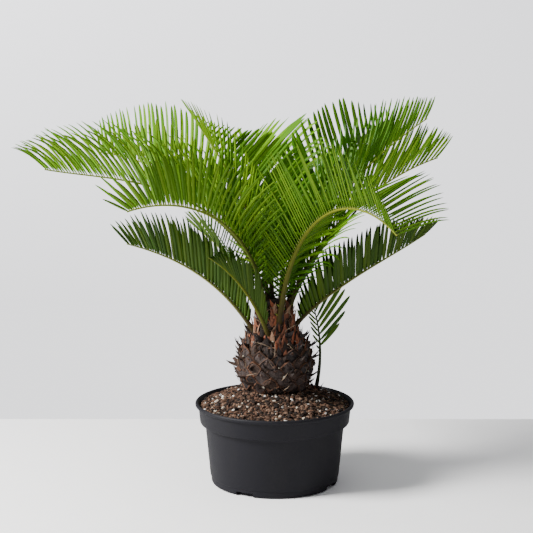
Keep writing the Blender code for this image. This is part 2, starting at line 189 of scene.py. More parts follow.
class Effects:
    """Node groups that more than one finish uses, each built once."""

    SPECK_SHARE = 0.35

    @staticmethod
    def _start(name: str, floats: Sequence[str], output: str) -> NodeBoard:
        """Open a new group with its sockets.

        Args:
            name: The group's name.
            floats: Its number inputs.
            output: Its number output.

        Returns:
            A board on the new group.
        """
        tree = bpy.data.node_groups.new(name, "ShaderNodeTree")
        for key in floats:
            tree.interface.new_socket(key, in_out="INPUT", socket_type="NodeSocketFloat")
        tree.interface.new_socket(output, in_out="OUTPUT", socket_type="NodeSocketFloat")
        return NodeBoard(tree)

    @staticmethod
    @cache
    def mottle() -> bpy.types.NodeTree:
        """A soft mask of blotches over finer specks.

        Returns:
            The group, with inputs Scale, Speck Scale, Stretch and Contrast, and output Mask.
        """
        board = Effects._start("Mottle", ("Scale", "Speck Scale", "Stretch", "Contrast"), "Mask")
        given = board.add("NodeGroupInput").outputs
        place = board.add("ShaderNodeTexCoord").outputs["Object"]
        split = board.add("ShaderNodeSeparateXYZ", {0: place}).outputs
        drawn = board.math("MULTIPLY", split["Z"], given["Stretch"])
        joined = {"X": split["X"], "Y": split["Y"], "Z": drawn}
        place = board.add("ShaderNodeCombineXYZ", joined).outputs[0]
        broad = board.noise(place, given["Scale"], detail=3.0, rough=0.6)
        fine = board.noise(place, given["Speck Scale"], detail=2.0, rough=0.6)
        low = board.math("SUBTRACT", 0.5, given["Contrast"])
        high = board.math("ADD", 0.5, given["Contrast"])
        both = board.blend(Effects.SPECK_SHARE, broad, fine)
        board.add("NodeGroupOutput", {"Mask": board.ramp(both, low, high)})
        return board.tree

    @staticmethod
    @cache
    def grain() -> bpy.types.NodeTree:
        """A height of fine grain over slow dents, for bumps.

        Returns:
            The group, with inputs Scale, Dent Scale and Dent Share, and output Height.
        """
        board = Effects._start("Grain", ("Scale", "Dent Scale", "Dent Share"), "Height")
        given = board.add("NodeGroupInput").outputs
        place = board.add("ShaderNodeTexCoord").outputs["Object"]
        fine = board.noise(place, given["Scale"], detail=2.0, rough=0.55)
        dents = board.noise(place, given["Dent Scale"], detail=2.0, rough=0.5)
        board.add("NodeGroupOutput", {"Height": board.blend(given["Dent Share"], fine, dents)})
        return board.tree


@dataclass(frozen=True)
class Texture:
    """A surface's mottle and grain, as scales of their patterns; relief is the bump's real depth."""

    scale: float = 60.0
    specks: float = 400.0
    stretch: float = 1.0
    contrast: float = 0.22
    relief: float = 0.0004
    grain: float = 1500.0
    dents: float = 120.0
    dent_share: float = 0.5


class Finish:
    """What every finish can do: build its material once and hand it out.

    The roughness differs by swing[0] where the mottle is 0 and by swing[1] where it is 1.
    """

    name: str
    texture: Texture
    roughness: float
    swing: Span = (0.0, 0.0)
    specular: float = 0.5
    coat: float = 0.0
    coat_roughness: float = 0.3

    def base_colour(self, board: NodeBoard, mask: Socket) -> Socket:
        """The finish's own colour."""
        raise NotImplementedError

    @cache
    def material(self) -> bpy.types.Material:
        """The finish's material, built on first use.

        Returns:
            The material.
        """
        made = bpy.data.materials.new(self.name)
        made.use_nodes = True
        made.node_tree.nodes.clear()
        board, texture = NodeBoard(made.node_tree), self.texture
        shader = board.add("ShaderNodeBsdfPrincipled")
        board.add("ShaderNodeOutputMaterial", {"Surface": shader.outputs[0]})
        mottle = {
            "Scale": texture.scale, "Speck Scale": texture.specks, "Stretch": texture.stretch,
            "Contrast": texture.contrast,
        }
        mask = board.add("ShaderNodeGroup", mottle, node_tree=Effects.mottle()).outputs["Mask"]
        rough = self.roughness
        if any(self.swing):
            rough = board.ramp(mask, start=rough + self.swing[0], end=rough + self.swing[1])
        board.feed(shader, {
            "Base Color": self.base_colour(board, mask), "Roughness": rough,
            "Specular IOR Level": self.specular, "Coat Weight": self.coat,
            "Coat Roughness": self.coat_roughness,
        })
        if texture.relief:
            grain = {
                "Scale": texture.grain, "Dent Scale": texture.dents, "Dent Share": texture.dent_share,
            }
            height = board.add("ShaderNodeGroup", grain, node_tree=Effects.grain()).outputs["Height"]
            bump = board.add("ShaderNodeBump", {"Distance": texture.relief, "Height": height})
            board.feed(shader, {"Normal": bump.outputs["Normal"]})
        return made


@dataclass(frozen=True)
class MottledFinish(Finish):
    """A natural matt surface of two colours with grain: bark, crumbs, fibres."""

    name: str
    low: Colour
    high: Colour
    roughness: float
    texture: Texture = Texture()
    swing: Span = (0.1, -0.1)

    def base_colour(self, board: NodeBoard, mask: Socket) -> Socket:
        """Both colours by the mottle."""
        return board.mix(mask, self.low, self.high)


def mottled(texture: Texture, *rows: tuple[str, Colour, Colour, float]) -> list[Finish]:
    """Finishes that share a texture."""
    return [MottledFinish(*row, texture) for row in rows]


@dataclass(frozen=True)
class LeafletFinish(Finish):
    """Leathery leaflet: one plain green with a waxy coat, faintly uneven."""

    name: str
    colour: Colour
    roughness: float = 0.42
    coat: float = 0.25
    uneven: float = 0.14
    specular: float = 0.15
    swing: Span = (-0.06, 0.08)
    texture: Texture = Texture(90.0, 600.0, 1.0, 0.2, 0.00012, 2600.0, 300.0, 0.4)

    def base_colour(self, board: NodeBoard, mask: Socket) -> Socket:
        """The green, a little darker by the mottle."""
        return board.mix(mask, tuple(value * (1 - self.uneven) for value in self.colour), self.colour)


@dataclass(frozen=True)
class RibFinish(Finish):
    """Frond rib: brown-olive at the foot, turning green along it, paler underneath."""

    name: str
    foot: Colour
    middle: Colour
    tip: Colour
    under: Colour
    worn: Colour = (0.62, 0.62, 0.62)
    wear: float = 0.6
    foot_range: Span = (0.02, 0.3)
    tip_range: Span = (0.35, 0.8)
    under_range: Span = (0.05, 0.55)
    roughness: float = 0.5
    specular: float = 0.2
    texture: Texture = Texture(120.0, 900.0, 0.5, 0.25, 0.0002, 1800.0, 250.0, 0.5)

    def base_colour(self, board: NodeBoard, mask: Socket) -> Socket:
        """Colours by the attributes 'along' and 'under' that the rib's mesh carries.

        Args:
            board: The material's board.
            mask: The mottle.

        Returns:
            The colour.
        """
        along = board.add("ShaderNodeAttribute", attribute_name="along").outputs["Fac"]
        under = board.add("ShaderNodeAttribute", attribute_name="under").outputs["Fac"]
        green = board.mix(board.ramp(along, *self.tip_range), self.middle, self.tip)
        coloured = board.mix(board.ramp(along, *self.foot_range), self.foot, green)
        pale = board.mix(board.ramp(along, *self.under_range), coloured, self.under)
        worn = board.mix(mask, self.worn, (1.0, 1.0, 1.0))
        return board.mix(self.wear, board.mix(under, coloured, pale), worn, "MULTIPLY")


@dataclass(frozen=True)
class PlasticFinish(Finish):
    """Moulded matt plastic of the pot, finely grained, with a little dust."""

    name: str = "pot_plastic"
    colour: Colour = (0.0168, 0.0165, 0.0220)
    dusty: Colour = (0.034, 0.032, 0.036)
    dust_range: Span = (0.45, 1.25)
    roughness: float = 0.5
    specular: float = 0.22
    swing: Span = (-0.04, 0.12)
    texture: Texture = Texture(22.0, 700.0, 0.35, 0.3, 0.00012, 2200.0, 35.0, 0.3)

    def base_colour(self, board: NodeBoard, mask: Socket) -> Socket:
        """Dust by the mottle."""
        return board.mix(board.ramp(mask, *self.dust_range), self.colour, self.dusty)


@dataclass(frozen=True)
class StageFinish(Finish):
    """Pale matt board of the table, paler to the camera than to the light that it throws back."""

    name: str = "table_top"
    colour: Colour = (0.80, 0.80, 0.81)
    uneven: float = 0.06
    seen_gain: float = 2.35
    roughness: float = 0.85
    specular: float = 0.2
    texture: Texture = Texture(30.0, 900.0, 1.0, 0.3, relief=0.0)

    def base_colour(self, board: NodeBoard, mask: Socket) -> Socket:
        """A pale colour with a little fine grain.

        Args:
            board: The material's board.
            mask: The mottle.

        Returns:
            The colour.
        """
        pale = tuple(value * self.seen_gain for value in self.colour)
        shade = tuple(value * (1 - self.uneven) for value in pale)
        seen = board.add("ShaderNodeLightPath").outputs["Is Camera Ray"]
        return board.mix(seen, self.colour, board.mix(mask, shade, pale))


def mesh_of(name: str, bm: BMesh) -> bpy.types.Mesh:
    """Make a mesh of a bmesh.

    Args:
        name: The mesh's name.
        bm: The bmesh, which is freed.

    Returns:
        The mesh.
    """
    mesh = bpy.data.meshes.new(name)
    bm.to_mesh(mesh)
    bm.free()
    return mesh


def add_object(name: str, data: bpy.types.ID) -> bpy.types.Object:
    """Put an object into the scene.

    Args:
        name: The object's name.
        data: Its mesh, light or camera.

    Returns:
        The object.
    """
    obj = bpy.data.objects.new(name, data)
    bpy.context.scene.collection.objects.link(obj)
    return obj


def dressed(
    name: str, bm: BMesh, finishes: Sequence[Finish], smooth: Optional[float]
) -> bpy.types.Object:
    """Put a mesh with its materials into the scene.

    Args:
        name: The object's name.
        bm: Its mesh, which is freed.
        finishes: Its materials, in the order of the faces' indices.
        smooth: Angle in degrees above which an edge stays sharp, or None for flat faces.

    Returns:
        The object.
    """
    mesh = mesh_of(name, bm)
    if smooth is not None:
        mesh.shade_smooth()
        mesh.set_sharp_from_angle(angle=math.radians(smooth))
    for finish in finishes:
        mesh.materials.append(finish.material())
    return add_object(name, mesh)


def add_piece(
    name: str, bm: BMesh, finishes: Sequence[Finish], slot: Slot, replaced: Sequence[str] = (),
    smooth: Optional[float] = 40.0,
) -> None:
    """Make a piece that rides with the plant.

    Args:
        name: The piece's name.
        bm: Its mesh, which is freed.
        finishes: Its materials, in the order of the faces' indices.
        slot: The record's slot that it stands for; not used.
        replaced: Solid nodes that it replaces.
        smooth: Angle in degrees above which an edge stays sharp, or None for flat faces.
    """
    obj = dressed(name, bm, finishes, smooth)
    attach(obj, BODY)
    if replaced:
        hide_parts(*replaced)
    log.info("%s: %d faces", name, len(obj.data.polygons))


def between(table: Sequence[Span], place: float) -> float:
    """Value at a place in a table of (place, value) rows.

    Args:
        table: Rows with rising places.
        place: Where to read it.

    Returns:
        The value between the rows.
    """
    for (low, low_value), (high, high_value) in zip(table, table[1:]):
        if place <= high:
            share = max(0.0, (place - low) / (high - low))
            return low_value + (high_value - low_value) * share
    return table[-1][1]


def radial(azimuth: float) -> Vector:
    """A level direction."""
    return Vector((math.cos(azimuth), math.sin(azimuth), 0))


def rounded(bm: BMesh, edges: list, offset: float, segments: int) -> list:
    """Round edges.

    Args:
        bm: The mesh.
        edges: The edges.
        offset: How far from an edge the rounding starts.
        segments: Steps of the rounding.

    Returns:
        Corners of the rounding.
    """
    return bmesh.ops.bevel(
        bm, geom=edges, offset=offset, offset_type="OFFSET", affect="EDGES", segments=segments,
        profile=0.5, material=-1,
    )["verts"]


def turned(profile: Sequence[Span], steps: int, cuts: int = 0) -> BMesh:
    """Turn a side about the axis into a closed body.

    Args:
        profile: Radius and height of its corners, from axis to axis.
        steps: Steps round the axis.
        cuts: Cuts in each edge of the side apart from the first and the last.

    Returns:
        Its mesh, with faces outward.
    """
    bm = bmesh.new()
    verts = [bm.verts.new((radius, 0, height)) for radius, height in profile]
    edges = [bm.edges.new(pair) for pair in zip(verts, verts[1:])]
    if cuts:
        bmesh.ops.subdivide_edges(bm, edges=edges[1:-1], cuts=cuts)
    bmesh.ops.spin(
        bm, geom=bm.verts[:] + bm.edges[:], cent=(0, 0, 0), axis=UP, angle=math.tau, steps=steps,
        use_merge=True,
    )
    bmesh.ops.remove_doubles(bm, verts=bm.verts, dist=1e-6)
    bmesh.ops.recalc_face_normals(bm, faces=bm.faces)
    return bm


def drawn_out(bm: BMesh, edges: list) -> tuple[list, list]:
    """Draw a ring of edges out.

    Args:
        bm: The mesh.
        edges: The ring.

    Returns:
        The corners and the edges of the new ring, which still lies on the old one.
    """
    drawn = bmesh.ops.extrude_edge_only(bm, edges=edges)["geom"]
    kinds = (bmesh.types.BMVert, bmesh.types.BMEdge)
    verts, edges = ([item for item in drawn if isinstance(item, kind)] for kind in kinds)
    return verts, edges


def close_ends(bm: BMesh, edges: list) -> BMesh:
    """Close a drawn body at both ends and turn its faces outward.

    Args:
        bm: The mesh.
        edges: Its last ring.

    Returns:
        The same mesh.
    """
    bmesh.ops.contextual_create(bm, geom=edges)
    bmesh.ops.contextual_create(bm, geom=[edge for edge in bm.edges if edge.is_boundary])
    bmesh.ops.recalc_face_normals(bm, faces=bm.faces)
    return bm


class Copies:
    """Many copies of one small mesh in a bmesh, each moved and coloured on its own."""

    def __init__(self, bm: BMesh, template: bpy.types.Mesh, count: int) -> None:
        """Add the copies, all of them in one place.

        Args:
            bm: The mesh that they are added to.
            template: The small mesh.
            count: How many.
        """
        self.bm = bm
        self.corners = [vert.co.copy() for vert in template.vertices]
        self.faces = len(template.polygons)
        self.first = len(bm.verts), len(bm.faces)
        for _ in range(count):
            bm.from_mesh(template)
        bm.verts.ensure_lookup_table()
        bm.faces.ensure_lookup_table()

    def move(self, number: int, place: Callable[[Vector], Vector]) -> None:
        """Move one copy.

        Args:
            number: Which copy.
            place: Where a corner of the small mesh goes.
        """
        first = self.first[0] + number * len(self.corners)
        for offset, corner in enumerate(self.corners):
            self.bm.verts[first + offset].co = place(corner)

    def paint(self, number: int, tints: Iterable[int]) -> None:
        """Colour one copy.

        Args:
            number: Which copy.
            tints: The material index of each face.
        """
        first = self.first[1] + number * self.faces
        for offset, tint in enumerate(tints):
            self.bm.faces[first + offset].material_index = tint


@dataclass(frozen=True)
class BladeShape:
    """A slim pointed body that leaflets, scales, stubs and fibres are bent from.

    It is made once with operators: a ring of corners drawn out from station to station, each with
    its place and half width.
    """

    name: str
    stations: tuple[Span, ...]
    sides: int = 4

    @cache
    def mesh(self) -> bpy.types.Mesh:
        """The straight unit body along +X, one unit long and two wide.

        Returns:
            Its mesh, with the corners of each ring one after another.
        """
        bm = bmesh.new()
        first = bmesh.ops.create_circle(bm, cap_ends=False, radius=1.0, segments=self.sides)["verts"]
        turn = Matrix(((0, 0, 1), (1, 0, 0), (0, 1, 0)))
        bmesh.ops.transform(bm, matrix=turn.to_4x4(), verts=first)
        width = self.stations[0][1]
        bmesh.ops.scale(bm, vec=(1, width, width), verts=first)
        edges = list(bm.edges)
        for (place, width), (following, next_width) in zip(self.stations, self.stations[1:]):
            verts, edges = drawn_out(bm, edges)
            bmesh.ops.translate(bm, vec=(following - place, 0, 0), verts=verts)
            ratio = next_width / width
            bmesh.ops.scale(bm, vec=(1, ratio, ratio), verts=verts)
        return mesh_of(self.name, close_ends(bm, edges))


@dataclass
class Blade:
    """One bent blade: its middle line, its size, and the tints of its root, top and underside."""

    section: Callable[[float], Section]
    half_width: float
    half_depth: float
    tints: tuple[int, int, int]


class BladeBed:
    """Gathers bent blades of one kind and lays them all in one mesh."""

    ROOT_SHARE = 0.04
    PLACE_DIGITS = 4

    def __init__(self, shape: BladeShape) -> None:
        """Start an empty bed.

        Args:
            shape: The straight blade to bend.
        """
        self.template = shape.mesh()
        self.blades: list[Blade] = []
        self.parts = [self._part_of(face) for face in self.template.polygons]

    def _part_of(self, face: bpy.types.MeshPolygon) -> int:
        """Which part of a blade a face belongs to.

        Args:
            face: A face of the straight blade.

        Returns:
            0 for the root, 1 for the top and 2 for the underside.
        """
        places = [self.template.vertices[index].co for index in face.vertices]
        if max(co.x for co in places) < self.ROOT_SHARE:
            return 0
        return 1 if sum(co.z for co in places) > 0 else 2

    def lay(self, bm: BMesh) -> BMesh:
        """Lay every blade.

        Args:
            bm: The mesh that they are added to.

        Returns:
            The same mesh.
        """
        copies = Copies(bm, self.template, len(self.blades))
        for number, blade in enumerate(self.blades):
            section = cache(blade.section)

            def place(corner: Vector) -> Vector:
                """Bend a corner.

                Args:
                    corner: Its place on the straight blade.

                Returns:
                    Its place on the bent one.
                """
                centre, across, through = section(round(corner.x, self.PLACE_DIGITS))
                raised = through * (corner.z * blade.half_depth)
                return centre + across * (corner.y * blade.half_width) + raised

            copies.move(number, place)
            copies.paint(number, (blade.tints[part] for part in self.parts))
        return bm


class BentLine:
    """A line that leaves a root in one direction and is turned on its way."""

    STEPS = 12

    def __init__(
        self, root: Vector, length: float, direction: Callable[[float], Vector], flat: Vector,
        twist: float = 0.0,
    ) -> None:
        """Walk the line once.

        Args:
            root: Where it starts.
            length: Its length.
            direction: Its direction at a share of its length.
            flat: The way across the blade at its root.
            twist: Turn of the blade about its line from root to tip, in radians.
        """
        self.points = [root.copy()]
        self.ways = [direction(0.0).normalized()]
        for step in range(self.STEPS):
            way = direction((step + 0.5) / self.STEPS).normalized()
            self.points.append(self.points[-1] + way * (length / self.STEPS))
            self.ways.append(direction((step + 1) / self.STEPS).normalized())
        self.flat = flat
        self.twist = twist

    def section(self, share: float) -> Section:
        """The line's section at a share of its length.

        Args:
            share: From 0 at the root to 1 at the tip.

        Returns:
            The centre, the way across and the way through.
        """
        place = min(max(share, 0.0), 1.0) * self.STEPS
        index = min(int(place), self.STEPS - 1)
        centre = self.points[index].lerp(self.points[index + 1], place - index)
        way = self.ways[index].lerp(self.ways[index + 1], place - index).normalized()
        across = (self.flat - way * self.flat.dot(way)).normalized()
        if self.twist:
            across = Matrix.Rotation(self.twist * share, 3, way) @ across
        return centre, across, way.cross(across)


LEAFLET_SHAPE = BladeShape("leaflet_shape", (
    (0.0, 0.34), (0.035, 0.46), (0.10, 0.70), (0.22, 0.90), (0.40, 1.0), (0.60, 1.0), (0.77, 0.93),
    (0.89, 0.76), (0.96, 0.50), (1.0, 0.10),
))
FINE_LEAFLET_SHAPE = BladeShape("fine_leaflet_shape", (
    (0.0, 0.36), (0.035, 0.52), (0.10, 0.78), (0.22, 0.95), (0.38, 1.0), (0.56, 0.94), (0.72, 0.80),
    (0.85, 0.62), (0.94, 0.40), (1.0, 0.08),
))
SCALE_LEAF_SHAPE = BladeShape("scale_leaf_shape", (
    (0.0, 0.85), (0.15, 0.97), (0.32, 1.0), (0.5, 0.86), (0.66, 0.6), (0.8, 0.34), (0.92, 0.14),
    (1.0, 0.03),
))
STUB_SHAPE = BladeShape("stub_shape", (
    (0.0, 1.0), (0.2, 0.9), (0.45, 0.7), (0.7, 0.45), (0.88, 0.22), (1.0, 0.06),
), sides=6)
FIBRE_SHAPE = BladeShape("fibre_shape", (
    (0.0, 1.0), (0.25, 0.95), (0.5, 0.85), (0.75, 0.6), (1.0, 0.15),
), sides=3)


@dataclass(frozen=True)
class FrondRule:
    """Sizes that every frond shares; those of the rib's line are the same as in the solid model."""

    steps: int = 48
    seat_share: float = 0.85
    sway_power: float = 1.5
    upturn_power: float = 4.0
    rib_sides: int = 10
    rib_half_width: float = 0.0032
    rib_half_depth: float = 0.0028
    rib_tip_half: float = 0.0008
    rib_taper: float = 1.6
    foot_flare: float = 0.35
    flare_length: float = 0.008
    shortest: float = 0.25
    full_place: float = 0.32
    fill_power: float = 0.9
    taper_place: float = 0.6
    taper_loss: float = 0.52
    taper_power: float = 1.5
    sag: float = 0.3
    pitch: float = 0.0055
    stagger: float = 0.22
    scatter: float = 0.10
    root_out: float = 0.55
    root_up: float = 0.35
    twist: float = 0.10
    leaflet_width: float = 0.0049
    leaflet_depth: float = 0.0019
    full_width_length: float = 0.06
    keel_angle: float = 24.0
    shade_span: float = 0.26
    tip_slimming: float = 0.30
    fine_from: float = 0.8
    length_range: Span = (0.96, 1.02)
    drift_gain: float = 1.6
    drift_pace: float = 7.0
    drift_step: float = 13.7
    drift_side: float = 5.3
    spine_start: float = 0.012
    spine_pitch: float = 0.006
    spine_missing: float = 0.25
    spine_length: Span = (0.003, 0.0055)
    spine_half: Span = (0.0006, 0.0004)
    spine_forward: float = 0.9
    spine_up: float = 0.2
    spine_root: float = 0.8


RULE = FrondRule()


class Trait(Enum):
    """What varies in a leaflet: a number of its own, slow drift along the row, and jitter."""

    SWEEP = (1, 3.0, 0.9)
    VEE = (2, 5.0, 1.6)
    LENGTH = (3, 0.04, 0.0)
    CURL = (4, 0.3, 0.05)
    HOOK = (5, 0.6, 0.15)
    WANDER = (6, 0.06, 0.015)
    LEAN = (7, 8.0, 3.0)


@dataclass(frozen=True)
class Row:
    """How the leaflets of one row stand; angles in degrees.

    The sweep is the angle between a leaflet and the rib's forward direction, and reach is a share
    of the frond's leaflet length. Near the foot, up to the share foot_span, a row can hang lower by
    foot_lift, curl more by foot_curl and have only the share foot_reach of its length and the share
    foot_slim of its width.
    """

    sweep: float = 78.0
    loss: float = 18.0
    tip_loss: float = 32.0
    tip_power: float = 4.0
    curl: float = 0.32
    hook: float = 0.25
    lift: float = 0.0
    tip_lift: float = 0.0
    reach: float = 1.0
    tip_reach: float = 1.0
    slim: float = 1.0
    lean: float = 12.0
    foot_lift: float = 0.0
    foot_reach: float = 1.0
    foot_curl: float = 0.0
    foot_slim: float = 1.0
    foot_span: float = 0.42
    fine: bool = False

    def at(self, share: float) -> tuple[float, float, float, float, float]:
        """How the row stands at a share of the leafy stretch.

        Args:
            share: From 0 at its foot to 1 at its tip.

        Returns:
            Sweep, lift, reach, curl and share of the usual width.
        """
        foot = math.sqrt(max(0.0, 1 - share / self.foot_span))
        return (
            self.sweep - self.loss * share - self.tip_loss * share ** self.tip_power,
            self.lift + (self.tip_lift - self.lift) * share + self.foot_lift * foot,
            self.reach * (1 + (self.tip_reach - 1) * share * share) * (1 - (1 - self.foot_reach) * foot),
            self.curl + self.foot_curl * foot,
            self.slim * (1 - (1 - self.foot_slim) * foot),
        )


@dataclass(frozen=True)
class Frond:
    """One frond by name, with the angles and lengths that it has in the solid model.

    Angles are in degrees, with azimuth 0 towards +X and 90 towards +Y. The rib rises at rise and
    ends at fall, and upturn is added to that near its tip. The share bare of it has no leaflets,
    but spines if it is spiny, and dim_rib gives it the darker of the age's two rib finishes.
    """

    name: str
    azimuth: float
    seat_azimuth: float
    seat_height: float
    rise: float
    fall: float
    bend: float
    length: float
    leaflet: float
    age: Age
    sway: float = 0.0
    roll: float = 0.0
    vee: float = 55.0
    bare: float = 0.16
    seat_radius: float = 0.0
    girth: float = 1.0
    upturn: float = 0.0
    pitch: float = RULE.pitch
    left: Row = Row()
    right: Row = Row()
    dim_rib: bool = False
    spiny: bool = True

    def frames(self) -> list[Frame]:
        """Points along the rib.

        Returns:
            For each step the point and its forward, upward and sideways directions.
        """
        seat = math.radians(self.seat_azimuth)
        radius = self.seat_radius or RULE.seat_share * between(Caudex.SIDE, self.seat_height)
        point = Vector((radius * math.cos(seat), radius * math.sin(seat), self.seat_height))
        frames = []
        for index in range(RULE.steps + 1):
            share = index / RULE.steps
            slope = self.rise + (self.fall - self.rise) * share ** self.bend
            slope = math.radians(slope + self.upturn * share ** RULE.upturn_power)
            azimuth = math.radians(self.azimuth + self.sway * share ** RULE.sway_power)
            roll = math.radians(self.roll * min(1, 2 * share))
            flat = math.cos(slope)
            forward = Vector((flat * math.cos(azimuth), flat * math.sin(azimuth), math.sin(slope)))
            level = Vector((-math.sin(azimuth), math.cos(azimuth), 0))
            side = level * math.cos(roll) + forward.cross(level) * math.sin(roll)
            frames.append((point.copy(), forward, forward.cross(side), side))
            point += forward * (self.length / RULE.steps)
        return frames

    def rib_half(self, share: float, foot: float) -> float:
        """Half width or half depth of the rib."""
        added = (foot - RULE.rib_tip_half) * (1 - share) ** RULE.rib_taper
        return (RULE.rib_tip_half + added) * self.girth

    def leaflet_length(self, share: float) -> float:
        """Length of the leaflets, short at both ends.

        Args:
            share: Share of the leafy stretch.

        Returns:
            The length there.
        """
        filled = math.sin(min(1, share / RULE.full_place) * math.pi / 2) ** RULE.fill_power
        grown = RULE.shortest + (1 - RULE.shortest) * filled
        past = max(0, (share - RULE.taper_place) / (1 - RULE.taper_place))
        return self.leaflet * grown * (1 - RULE.taper_loss * past ** RULE.taper_power)


@dataclass(frozen=True)
class LeafPalette:
    """Finishes for the fronds of one age: the leaflets', with the paler root first, and two ribs'."""

    # The first three tints vary the tone at random; the last is painted shade for leaflets inside the
    # crown.
    TINTS = ((1.0, 1.0, 1.0), (1.3, 1.16, 1.0), (0.72, 0.8, 0.9), (0.5, 0.6, 0.9))

    leaflets: tuple[LeafletFinish, ...]
    rib: RibFinish
    dim_rib: RibFinish

    @classmethod
    def greens(cls, name: str, colour: Colour, roughness: float, coat: float) -> list[LeafletFinish]:
        """Four close tints for one face of a leaflet, the last a darker painted shade for leaflets
        inside the crown.

        Args:
            name: Name of the age and the face.
            colour: The face's green.
            roughness: Its roughness.
            coat: Its coat.

        Returns:
            The tints.
        """
        made = []
        for number, gains in enumerate(cls.TINTS):
            tint = tuple(value * gain for value, gain in zip(colour, gains))
            made.append(LeafletFinish(f"{name}_{number}", tint, roughness, coat))
        return made

    def tints(self, chance: random.Random, shade: float) -> tuple[int, int, int]:
        """Choose one leaflet's tints.

        Args:
            chance: The frond's seeded chance.
            shade: How likely it has the painted shade tint of the leaflets inside the crown.

        Returns:
            The material indices of its root, top and underside.
        """
        # The last tint is painted shade: leaflets near a frond's foot take it for the shade inside the
        # crown.
        deep = len(self.TINTS) - 1
        upper, under = chance.randrange(deep), chance.randrange(deep)
        if chance.random() < shade:
            upper = under = deep
        return 0, 1 + upper, 1 + len(self.TINTS) + under


class FrondGrower:
    """Grows the rib and the leaflets of one frond as two pieces."""

    def __init__(self, frond: Frond, palette: LeafPalette) -> None:
        """Start on a frond.

        Args:
            frond: The frond's sizes.
            palette: The finishes for its age.
        """
        self.frond = frond
        self.palette = palette
        self.frames = frond.frames()
        self.chance = random.Random(frond.name)

    def at(self, share: float) -> Frame:
        """The rib's frame at a share of its length.

        Args:
            share: From 0 at the foot to 1 at the tip.

        Returns:
            The point and its forward, upward and sideways directions.
        """
        place = min(max(share, 0.0), 1.0) * RULE.steps
        index = min(int(place), RULE.steps - 1)
        pairs = zip(self.frames[index], self.frames[index + 1])
        return tuple(low.lerp(high, place - index) for low, high in pairs)

    def rib(self) -> BMesh:
        """The rib: a ring of corners drawn out along its frames, with its colours' attributes.

        Returns:
            The rib's mesh.
        """
        bm = bmesh.new()
        layers = [bm.verts.layers.float.new(name) for name in ("along", "under", "turn")]
        ring = bmesh.ops.create_circle(bm, cap_ends=False, radius=1.0, segments=RULE.rib_sides)["verts"]
        edges = list(bm.edges)
        for vert in ring:
            vert[layers[2]] = math.atan2(vert.co.y, vert.co.x)
        self._set_ring(ring, 0.0, layers)
        for step in range(1, RULE.steps + 1):
            ring, edges = drawn_out(bm, edges)
            self._set_ring(ring, step / RULE.steps, layers)
        return close_ends(bm, edges)

    def _set_ring(self, ring: list, share: float, layers: Sequence[bmesh.types.BMLayerItem]) -> None:
        """Lay one ring round the rib's line.

        Args:
            ring: The ring's corners.
            share: Share of the rib's length.
            layers: Layers for that share, for how far a corner faces down and for its turn.
        """
        along, under, turn = layers
        point, _, upward, side = self.at(share)
        flare = 1 + RULE.foot_flare * math.exp(-share * self.frond.length / RULE.flare_length)
        half_width = self.frond.rib_half(share, RULE.rib_half_width) * flare
        half_depth = self.frond.rib_half(share, RULE.rib_half_depth) * flare
        for vert in ring:
            across, through = math.cos(vert[turn]), math.sin(vert[turn])
            vert.co = point + side * (across * half_width) + upward * (through * half_depth)
            vert[along] = share
            vert[under] = max(0.0, -through)

    def leaflets(self) -> BMesh:
        """Both rows of leaflets, with short spines below them.

        Returns:
            One mesh with all of them.
        """
        frond, beds = self.frond, {False: BladeBed(LEAFLET_SHAPE), True: BladeBed(FINE_LEAFLET_SHAPE)}
        count = round(frond.length * (1 - frond.bare) / frond.pitch)
        for index in range(count):
            for sign, row in ((1, frond.left), (-1, frond.right)):
                offset = RULE.stagger * sign + self.chance.uniform(-RULE.scatter, RULE.scatter)
                share = min(max((index + 0.5 + offset) / count, 0.0), 1.0)
                beds[row.fine or share > RULE.fine_from].blades.append(self._leaflet(share, sign, row))
        if frond.spiny:
            self._add_spines(beds[False])
        bm = bmesh.new()
        for bed in beds.values():
            bed.lay(bm)
        return bm

    def _leaflet(self, share: float, sign: int, row: Row) -> Blade:
        """One leaflet.

        Args:
            share: Share of the leafy stretch.
            sign: 1 for the left row and -1 for the right row.
            row: How the row stands.

        Returns:
            The leaflet.
        """
        frond, chance = self.frond, self.chance
        place = frond.bare + (1 - frond.bare) * share
        point, forward, upward, side = self.at(place)
        sweep, lift, reach, curl, slim = row.at(share)
        sweep = math.radians(sweep + self._vary(share, sign, Trait.SWEEP))
        vee = math.radians(frond.vee + lift + self._vary(share, sign, Trait.VEE))
        spread = side * (sign * math.cos(vee)) + upward * math.sin(vee)
        heading = forward * math.cos(sweep) + spread * math.sin(sweep)
        length = frond.leaflet_length(share) * reach * (1 + self._vary(share, sign, Trait.LENGTH))
        length *= chance.uniform(*RULE.length_range)
        curl *= 1 + self._vary(share, sign, Trait.CURL)
        hook = row.hook * (1 + self._vary(share, sign, Trait.HOOK))
        wander = self._vary(share, sign, Trait.WANDER)

        def direction(part: float) -> Vector:
            """The leaflet's direction."""
            bent = curl * part + hook * part ** 3
            return heading + forward * bent - UP * (RULE.sag * abs(bent)) + side * (wander * part * part)

        root = point + side * (sign * RULE.root_out * frond.rib_half(place, RULE.rib_half_width))
        root += upward * (RULE.root_up * frond.rib_half(place, RULE.rib_half_depth))
        lean = math.radians(row.lean + self._vary(share, sign, Trait.LEAN))
        flat = Matrix.Rotation(sign * lean, 3, heading.normalized()) @ (forward * -sign)
        line = BentLine(root, length, direction, flat, chance.gauss(0, RULE.twist))
        grown = min(1.0, 0.5 + 0.5 * length / RULE.full_width_length)
        half_width = 0.5 * RULE.leaflet_width * slim * grown
        half_width *= 1 - RULE.tip_slimming * share * share
        # Leaflets near the frond's foot get the painted shade tint, standing in for the shade inside the
        # crown; the old dark fronds get none.
        shade = 0.0 if frond.age is Age.DARK else 1 - share / RULE.shade_span
        tints = self.palette.tints(chance, shade)
        return Blade(line.section, half_width, 0.5 * RULE.leaflet_depth, tints)

